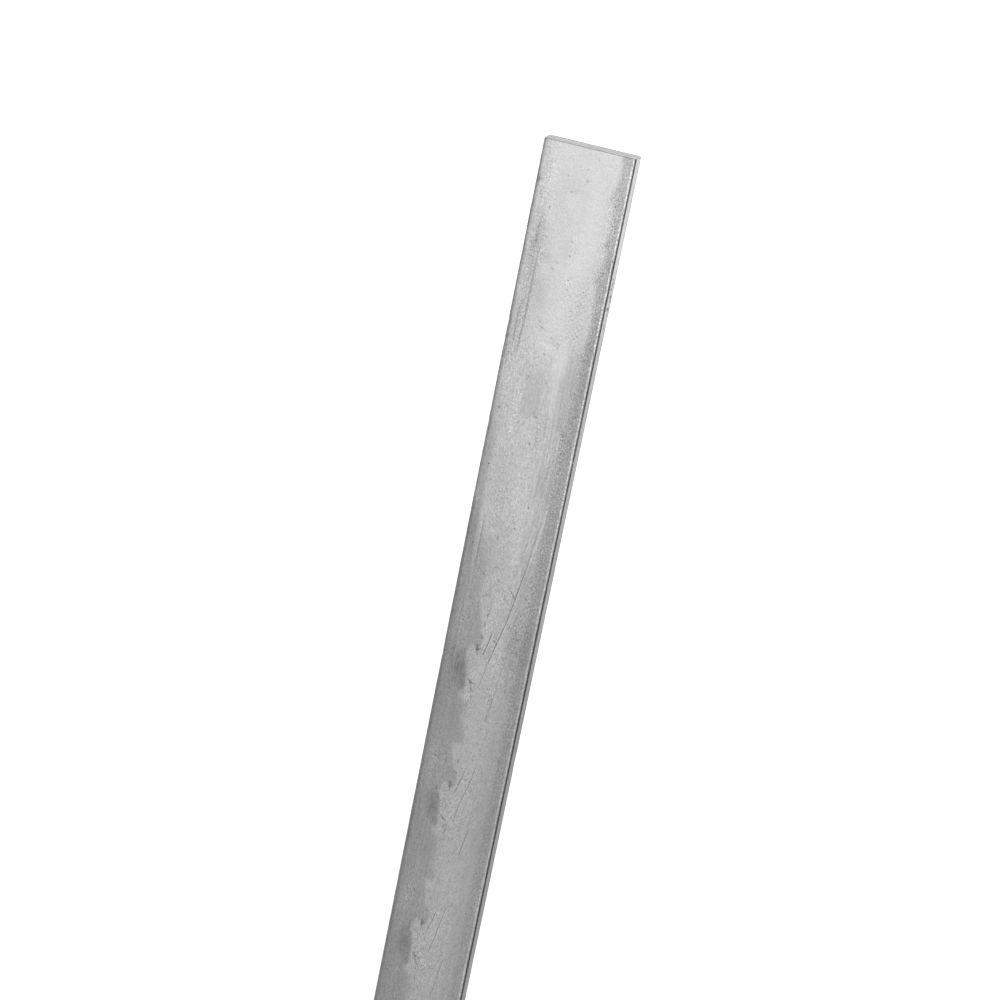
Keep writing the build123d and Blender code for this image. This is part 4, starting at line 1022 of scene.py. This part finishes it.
def mill_surface():
    g = Nodes("mill_steel")
    obj = g.node("ShaderNodeTexCoord").outputs["Object"]
    sc = g.node("ShaderNodeVectorMath", operation="SCALE")
    g.put(sc.inputs[0], obj)
    sc.inputs["Scale"].default_value = 1000.0
    mm = sc.outputs[0]
    x, y, z = g.split(mm)
    edge_, flow_, slant_ = g.split(g.attr("places", True))
    outer_, inner_, stain_ = g.split(g.attr("fields", True))
    outer_k_, inner_k_, stain_k_ = g.split(g.attr("powers", True))
    oval_, oval_k_, tone_ = g.split(g.attr("ovals", True))
    grit_, drawn_, chat_ = g.split(g.attr("amounts", True))
    side_, striae_, strip_ = g.split(g.attr("sides", True))
    deep1_, deep2_, rim_shade_ = g.split(g.attr("line_deep", True))

    yf = g.add(y, flow_)
    # frosted grain, and the same drawn out along the bar
    ys = g.m("MULTIPLY_ADD", x, 0.21, y)
    frost = g.noise(g.vec(g.mul(x, 0.78), y, z), 3.2, 2.0, 0.62)
    grain = g.noise(g.vec(g.mul(x, 0.8), y, z), 1.45, 2.0, 0.6)
    drawn = g.mix(
        g.noise(g.vec(g.mul(x, 0.17), yf, z), 3.3, 2.0, 0.6, 0.15),
        g.noise(g.vec(g.mul(x, 0.17), ys, z), 3.3, 2.0, 0.6, 0.15),
        slant_,
    )
    lines = g.mix(
        g.noise(g.vec(g.mul(x, 0.035), yf, z), 1.9, 3.0, 0.62),
        g.noise(g.vec(g.mul(x, 0.035), ys, z), 1.9, 3.0, 0.62),
        slant_,
    )
    blots = g.noise(g.vec(g.mul(x, 0.7), y, z), 0.75, 3.0, 0.6, 0.4)
    clouds = g.noise(g.vec(g.mul(x, 0.4), y, z), 0.30, 3.0, 0.55, 0.3)

    # the limits of the zones are frayed by the grain
    fray = g.add(g.mul(blots, 0.28), g.mul(grain, 0.38), g.mul(frost, 0.20))
    in_outer = g.ramp(g.add(outer_, fray), -1.0, 1.0)
    in_inner = g.ramp(g.add(inner_, g.mul(fray, 0.8)), -1.0, 1.0)
    in_stain = g.ramp(g.add(stain_, g.mul(fray, 1.3)), -1.0, 1.0)
    ov = g.add(oval_, g.mul(blots, 0.10), g.mul(grain, 0.07))
    in_oval = g.mul(g.ramp(ov, -0.22, 0.30), oval_k_)
    core = g.mul(g.ramp(g.add(oval_, g.mul(blots, 0.16)), 0.30, 0.85), oval_k_)

    def line(name):
        d_, k_, lip_ = g.split(g.attr(name, True))
        wob = g.add(d_, g.mul(blots, 0.30), g.mul(grain, 0.20))
        groove = g.ramp(g.m("ABSOLUTE", wob), 1.6, 0.2)
        gaps = g.ramp(g.add(drawn, g.mul(grain, 0.5)), -0.9, 0.2, 0.45, 1.0)
        beside = g.ramp(g.m("ABSOLUTE", g.sub(wob, 2.3)), 1.6, 0.2)
        return g.mul(groove, k_, gaps), g.mul(beside, lip_, gaps), g.mul(groove, gaps)

    dark1, lip1, cut1 = line("line1")
    dark2, lip2, cut2 = line("line2")
    lips = g.m("MAXIMUM", lip1, lip2)

    mark_k, mark_cut = None, None
    for i in range(len(MK)):
        s_, t_, half_ = g.split(g.attr("mark%d" % i, True))
        hw_, k_, deep_ = g.split(g.attr("mark%d_k" % i, True))
        over = g.m("MAXIMUM", g.sub(g.m("ABSOLUTE", g.add(s_, g.mul(grain, 0.08))), half_), 0.0)
        tt = g.add(t_, g.mul(grain, 0.06), g.mul(blots, 0.04))
        r_ = g.m("DIVIDE", g.m("SQRT", g.add(g.mul(over, over), g.mul(tt, tt))), g.m("MAXIMUM", hw_, 0.08))
        prof = g.ramp(g.add(r_, g.mul(frost, 0.12)), 1.75, 0.25)
        k1, c1 = g.mul(prof, k_), g.mul(prof, deep_)
        mark_k = k1 if mark_k is None else g.add(mark_k, k1)
        mark_cut = c1 if mark_cut is None else g.add(mark_cut, c1)

    # scattered specks where the frosting is coarse
    cell = g.cells(g.vec(g.mul(x, 0.6), y, z), 0.95)
    pick = g.ramp(g.split(cell.outputs["Color"])[0], 0.60, 0.64)
    speck = g.mul(g.ramp(cell.outputs["Distance"], 0.26, 0.06), pick, g.ramp(grit_, 1.0, 2.6, 0.10, 1.0))

    # the long edges: a painted highlight line on the broad face, partly burnished metal, and oxide with a painted dark
    # reflection over the rounding
    worn = g.noise(g.vec(g.mul(x, 0.55), y, z), 1.7, 2.0, 0.7)
    right_ = g.ramp(y, -1.0, 1.0)
    onward = g.ramp(x, 95.0 - L / 2, 130.0 - L / 2)
    edge_r = g.add(edge_, 0.07, g.mul(onward, 0.10))
    below = g.add(edge_, g.mul(worn, 0.10), g.mul(g.ramp(x, 80.0 - L / 2, 40.0 - L / 2), 0.17))
    left_ = g.sub(1.0, right_)
    beads = g.ramp(g.add(frost, g.mul(grain, 0.5)), -0.75, 0.45, g.m("MULTIPLY_ADD", strip_, -0.10, 0.82), 1.12)
    # painted highlight: a beaded bright line along the +Y edge, partly burnished metal, fainter further along the bar
    burnish_and_highlight = g.mul(g.ramp(g.m("ABSOLUTE", g.add(edge_r, 0.40, g.mul(worn, 0.05))), 0.36, 0.08), beads, g.sub(1.0, g.mul(onward, 0.28)))
    burnish_and_highlight = g.mul(burnish_and_highlight, g.add(g.mul(right_, 0.92), 0.08))
    # oxide and a painted dark reflection: dark lines over the +Y and -Y roundings
    dark_line_r = g.mul(g.ramp(g.add(edge_r, g.mul(grain, 0.04)), -0.15, 0.12), g.ramp(below, 0.80, 0.50))
    dark_line_l = g.mul(g.ramp(g.add(edge_, g.mul(grain, 0.16)), -1.20, -0.70), g.ramp(g.add(edge_, g.mul(grain, 0.06)), -0.32, -0.58))
    dark_line_l = g.mul(dark_line_l, g.ramp(g.add(g.noise(g.vec(g.mul(x, 0.10), 3.7, 1.9), 1.0, 2.0), g.mul(grain, 0.55)), -0.9, 0.5, 0.45, 1.05))
    by_left = g.mul(g.ramp(edge_, -4.4, -0.9), g.ramp(edge_, -0.25, -0.60), left_)
    # round the lower edges it comes and goes
    low = g.ramp(z, 2.4, 1.4)
    patchy = g.ramp(g.noise(g.vec(g.mul(x, 0.05), g.mul(y, 0.08), 2.3), 1.0, 3.0, 0.6), -0.55, 0.45, 0.25, 0.95)
    oxide_and_dark_reflection = g.mul(g.add(g.mul(dark_line_r, right_, 0.76), g.mul(dark_line_l, left_, 0.27)), g.sub(1.0, g.mul(low, g.sub(1.0, patchy))))

    # ---- tone
    k = g.add(1.0, tone_, g.mul(lines, striae_, 0.085), g.mul(blots, 0.034), g.mul(clouds, 0.026))
    zones = g.mul(
        g.sub(1.0, g.mul(in_outer, g.add(outer_k_, g.mul(grain, 0.10), g.mul(blots, 0.05)))),
        g.sub(1.0, g.mul(in_inner, g.add(inner_k_, g.mul(drawn, 0.05)))),
        g.sub(1.0, g.mul(in_stain, g.add(stain_k_, g.mul(blots, 0.04), g.mul(drawn, 0.02)))),
        g.sub(1.0, g.mul(by_left, g.add(0.135, g.mul(drawn, 0.06)))),
    )
    k = g.mul(k, g.m("MULTIPLY_ADD", burnish_and_highlight, g.sub(1.0, zones), zones))
    k = g.mul(k, g.sub(1.0, g.mul(in_oval, g.add(0.23, g.mul(blots, 0.05)))))
    k = g.mul(k, g.sub(1.0, g.mul(core, 0.25)))
    amp = g.add(grit_, g.mul(in_outer, strip_))
    k = g.mul(k, g.add(1.0, g.mul(frost, amp, 0.165), g.mul(grain, amp, 0.036), g.mul(drawn, drawn_, 0.175)))
    lattice = g.mul(g.m("COSINE", g.mul(x, 2 * math.pi / 1.62)), g.m("COSINE", g.mul(g.add(y, g.mul(blots, 0.12)), 2 * math.pi / 1.50)))
    dots = g.mul(g.ramp(g.add(lattice, g.mul(grain, 0.35)), 0.50, 1.05), chat_, g.ramp(blots, -0.8, 0.5, 0.2, 1.0))
    k = g.mul(k, g.sub(1.0, g.mul(dots, 0.50)))
    k = g.mul(k, g.sub(1.0, g.mul(speck, 0.19)))
    k = g.mul(k, g.sub(1.0, mark_k))
    k = g.mul(k, g.sub(1.0, dark1), g.sub(1.0, dark2))
    k = g.mul(k, g.add(1.0, g.mul(lips, 0.26)))
    # painted highlight: the edge line lifts the colour
    k = g.mul(k, g.add(1.0, g.mul(burnish_and_highlight, 0.26)))
    # oxide and painted dark reflection darken the roundings
    k = g.mul(k, g.sub(1.0, g.mul(oxide_and_dark_reflection, g.add(1.0, g.mul(grain, 0.16)))))
    k = g.mul(k, g.sub(1.0, g.mul(side_, g.add(0.11, g.mul(drawn, -0.05), g.mul(grain, -0.05)))))
    # painted shade on the worn rounding at the cut ends
    k = g.mul(k, g.sub(1.0, g.mul(rim_shade_, g.add(0.30, g.mul(grain, 0.10)))))
    col = g.m("MINIMUM", g.m("MAXIMUM", g.m("MULTIPLY", k, BASE), 0.045), 0.97)
    rgb = g.node("ShaderNodeCombineColor")
    for i in range(3):
        g.put(rgb.inputs[i], col)
    g.put(g.bsdf.inputs["Base Color"], rgb.outputs[0])

    # ---- roughness
    ro = g.add(
        0.30,
        g.mul(frost, 0.022),
        g.mul(blots, 0.016),
        g.mul(drawn, drawn_, 0.016),
        g.mul(in_outer, 0.06),
        g.mul(in_inner, 0.02),
        g.mul(in_stain, 0.05),
        g.mul(in_oval, 0.08),
        g.mul(tone_, -0.20),
        g.mul(burnish_and_highlight, -0.05),
        g.mul(oxide_and_dark_reflection, 0.10),
        g.mul(mark_k, 0.12),
        g.mul(g.add(dark1, dark2), 0.10),
    )
    g.put(g.bsdf.inputs["Roughness"], g.m("MINIMUM", g.m("MAXIMUM", ro, 0.16), 0.64))

    # ---- relief, in mm
    h = g.add(
        g.mul(frost, grit_, 0.0028),
        g.mul(grain, grit_, 0.0036),
        g.mul(drawn, drawn_, 0.0032),
        g.mul(lines, 0.0028),
        g.mul(blots, 0.0045),
        g.mul(in_outer, grain, 0.0028),
        g.mul(in_oval, -0.004),
        g.mul(speck, -0.006),
        g.mul(mark_cut, -1.0),
        g.mul(cut1, deep1_, -1.0),
        g.mul(cut2, deep2_, -1.0),
        g.mul(lips, 0.003),
        g.mul(oxide_and_dark_reflection, worn, 0.006),
        g.mul(burnish_and_highlight, worn, 0.003),
    )
    bump = g.node("ShaderNodeBump")
    bump.inputs["Strength"].default_value = 1.0
    bump.inputs["Distance"].default_value = 0.001
    g.put(bump.inputs["Height"], h)
    g.put(g.bsdf.inputs["Normal"], bump.outputs[0])
    g.bsdf.inputs["Metallic"].default_value = 1.0
    return g.mat


def cut_surface():
    """The sawn ends: fine parallel marks, slightly turned, with smeared patches and painted shade along the rim."""
    g = Nodes("cut_steel")
    obj = g.node("ShaderNodeTexCoord").outputs["Object"]
    sc = g.node("ShaderNodeVectorMath", operation="SCALE")
    g.put(sc.inputs[0], obj)
    sc.inputs["Scale"].default_value = 1000.0
    x, y, z = g.split(sc.outputs[0])
    q = g.add(g.mul(y, 0.94), g.mul(z, 0.34))
    w = g.add(g.mul(y, -0.34), g.mul(z, 0.94))
    marks = g.noise(g.vec(g.mul(x, 0.02), q, g.mul(w, 0.12)), 3.6, 3.0, 0.6, 0.15)
    coarse = g.noise(g.vec(g.mul(x, 0.02), q, g.mul(w, 0.2)), 0.9, 3.0, 0.6, 0.3)
    speck = g.noise(g.vec(g.mul(x, 0.05), y, z), 3.0, 3.0, 0.6)
    cloud = g.noise(g.vec(g.mul(x, 0.05), y, z), 0.5, 3.0, 0.55)
    edge_dist = g.m("MINIMUM", g.m("MINIMUM", z, g.sub(T, z)), g.sub(W / 2, g.m("ABSOLUTE", y)))
    # painted shade: a dark line along the rim of the cut
    edge_shade = g.ramp(g.add(edge_dist, g.mul(speck, 0.10)), 0.50, 0.12)
    k = g.add(1.0, g.mul(marks, 0.07), g.mul(coarse, 0.07), g.mul(speck, 0.09), g.mul(cloud, 0.07))
    k = g.mul(k, g.sub(1.0, g.mul(edge_shade, 0.30)))
    col = g.m("MINIMUM", g.m("MAXIMUM", g.mul(k, 0.75), 0.05), 0.95)
    rgb = g.node("ShaderNodeCombineColor")
    for i in range(3):
        g.put(rgb.inputs[i], col)
    g.put(g.bsdf.inputs["Base Color"], rgb.outputs[0])
    g.put(g.bsdf.inputs["Roughness"], g.add(0.40, g.mul(marks, 0.03), g.mul(cloud, 0.03)))
    g.bsdf.inputs["Specular Tint"].default_value = (0.55, 0.55, 0.55, 1.0)
    h = g.add(g.mul(marks, 0.003), g.mul(coarse, 0.004), g.mul(speck, 0.0015))
    bump = g.node("ShaderNodeBump")
    bump.inputs["Strength"].default_value = 1.0
    bump.inputs["Distance"].default_value = 0.001
    g.put(bump.inputs["Height"], h)
    g.put(g.bsdf.inputs["Normal"], bump.outputs[0])
    g.bsdf.inputs["Metallic"].default_value = 1.0
    return g.mat


mesh.materials.append(mill_surface())
mesh.materials.append(cut_surface())

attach(bar, "root")
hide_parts("flat_bar")

# ---------------------------------------------------------------- stage
FLOOR_LIFT = 0.75
END_POWER = 0.30
X_EDGE, Y_EDGE_R, Y_EDGE_L = (0.30, 0.16), (1.25, 0.75), (-0.70, -0.40)
BOX, BOX_FAR, AMB_LOW, AMB_HIGH, AMB_ENDS = 1.30, 0.38, 0.27, 0.47, 0.08
fm = bpy.data.meshes.new("floor")
s = 14.0
fm.from_pydata([(-s, -s, 0), (s, -s, 0), (s, s, 0), (-s, s, 0)], [], [(0, 1, 2, 3)])
floor = bpy.data.objects.new("floor", fm)
bpy.context.scene.collection.objects.link(floor)
fmat = bpy.data.materials.new("pale_floor")
fmat.use_nodes = True
fn = fmat.node_tree
fn.nodes.clear()
f_out = fn.nodes.new("ShaderNodeOutputMaterial")
f_diff = fn.nodes.new("ShaderNodeBsdfDiffuse")
f_diff.inputs["Color"].default_value = (0.74, 0.74, 0.74, 1)
f_glow = fn.nodes.new("ShaderNodeEmission")
f_glow.inputs["Strength"].default_value = FLOOR_LIFT
f_add = fn.nodes.new("ShaderNodeAddShader")
f_mix = fn.nodes.new("ShaderNodeMixShader")
f_path = fn.nodes.new("ShaderNodeLightPath")
fn.links.new(f_diff.outputs[0], f_add.inputs[0])
fn.links.new(f_glow.outputs[0], f_add.inputs[1])
fn.links.new(f_path.outputs["Is Camera Ray"], f_mix.inputs[0])
fn.links.new(f_diff.outputs[0], f_mix.inputs[1])
fn.links.new(f_add.outputs[0], f_mix.inputs[2])
fn.links.new(f_mix.outputs[0], f_out.inputs[0])
fm.materials.append(fmat)

world = bpy.data.worlds.new("studio")
bpy.context.scene.world = world
world.use_nodes = True
wn = world.node_tree
wn.nodes.clear()


def W_(kind, **kw):
    n = wn.nodes.new(kind)
    for k, v in kw.items():
        setattr(n, k, v)
    return n


def wmath(op, a, b=None, c=None, clamp=False):
    n = W_("ShaderNodeMath", operation=op, use_clamp=clamp)
    for i, v in enumerate((a, b, c)):
        if v is None:
            continue
        if isinstance(v, (int, float)):
            n.inputs[i].default_value = v
        else:
            wn.links.new(v, n.inputs[i])
    return n.outputs[0]


def wrange(x, a, b, c, d):
    n = W_("ShaderNodeMapRange", interpolation_type="SMOOTHSTEP")
    wn.links.new(x, n.inputs["Value"])
    for k, v in zip(("From Min", "From Max", "To Min", "To Max"), (a, b, c, d)):
        n.inputs[k].default_value = v
    return n.outputs["Result"]


tc = W_("ShaderNodeTexCoord")
sep = W_("ShaderNodeSeparateXYZ")
wn.links.new(tc.outputs["Generated"], sep.inputs[0])
dx, dy, dz = sep.outputs
zc = wmath("MAXIMUM", dz, 0.02)
tx, ty = wmath("DIVIDE", dx, zc), wmath("DIVIDE", dy, zc)
box_x = wmath("MULTIPLY", wrange(tx, *X_EDGE, 0.0, 1.0), wrange(tx, -1.1, -0.5, 0.0, 1.0))
box_x = wmath("MULTIPLY", box_x, wrange(tx, -0.18, 0.08, BOX_FAR, 1.0))
box_y = wmath("MULTIPLY", wrange(ty, *Y_EDGE_R, 0.0, 1.0), wrange(ty, *Y_EDGE_L, 0.0, 1.0))
soft = wmath("MULTIPLY", box_x, box_y)
ends = wmath("MULTIPLY", wmath("MULTIPLY", dx, dx), wrange(dz, 0.35, 0.88, AMB_ENDS, 0.0))
amb = wmath("ADD", wrange(dz, 0.35, 0.88, AMB_LOW, AMB_HIGH), ends)
lum = wmath("ADD", wmath("MULTIPLY", soft, BOX), amb)
bg = W_("ShaderNodeBackground")
bg.inputs["Color"].default_value = (1, 1, 1, 1)
wn.links.new(lum, bg.inputs["Strength"])
wo = W_("ShaderNodeOutputWorld")
wn.links.new(bg.outputs[0], wo.inputs[0])

def soft_light(name, at, look_at, size, power, spread=180.0):
    data = bpy.data.lights.new(name, "AREA")
    data.shape = "DISK"
    data.size = size
    data.energy = power
    data.spread = math.radians(spread)
    ob = bpy.data.objects.new(name, data)
    bpy.context.scene.collection.objects.link(ob)
    ob.location = at
    ob.rotation_mode = "QUATERNION"
    ob.rotation_quaternion = (Vector(look_at) - Vector(at)).to_track_quat("-Z", "Y")
    ob.visible_camera = False
    ob.visible_glossy = False
    return ob


# beside the near cut end, low: it lights the end and the floor round it
soft_light("end_light", (-0.757, 0.04, 0.27), (-0.435, 0.01, 0.0), 0.22, END_POWER, 60.0)

# ---------------------------------------------------------------- camera
cam_data = bpy.data.cameras.new("camera")
cam = bpy.data.objects.new("camera", cam_data)
bpy.context.scene.collection.objects.link(cam)
cam_data.sensor_width = 36.0
cam_data.lens = 100.8
cam_data.clip_start, cam_data.clip_end = 0.02, 60.0
cam.rotation_mode = "QUATERNION"
cam.location = (-0.587724, 0.151026, 0.711994)
cam.rotation_quaternion = (0.60949036, -0.18587387, -0.01349574, 0.77057788)
bpy.context.scene.camera = cam

bpy.context.scene.view_settings.view_transform = "Standard"
bpy.context.scene.view_settings.look = "None"
bpy.context.scene.view_settings.exposure = 0.0
bpy.context.scene.view_settings.gamma = 1.0
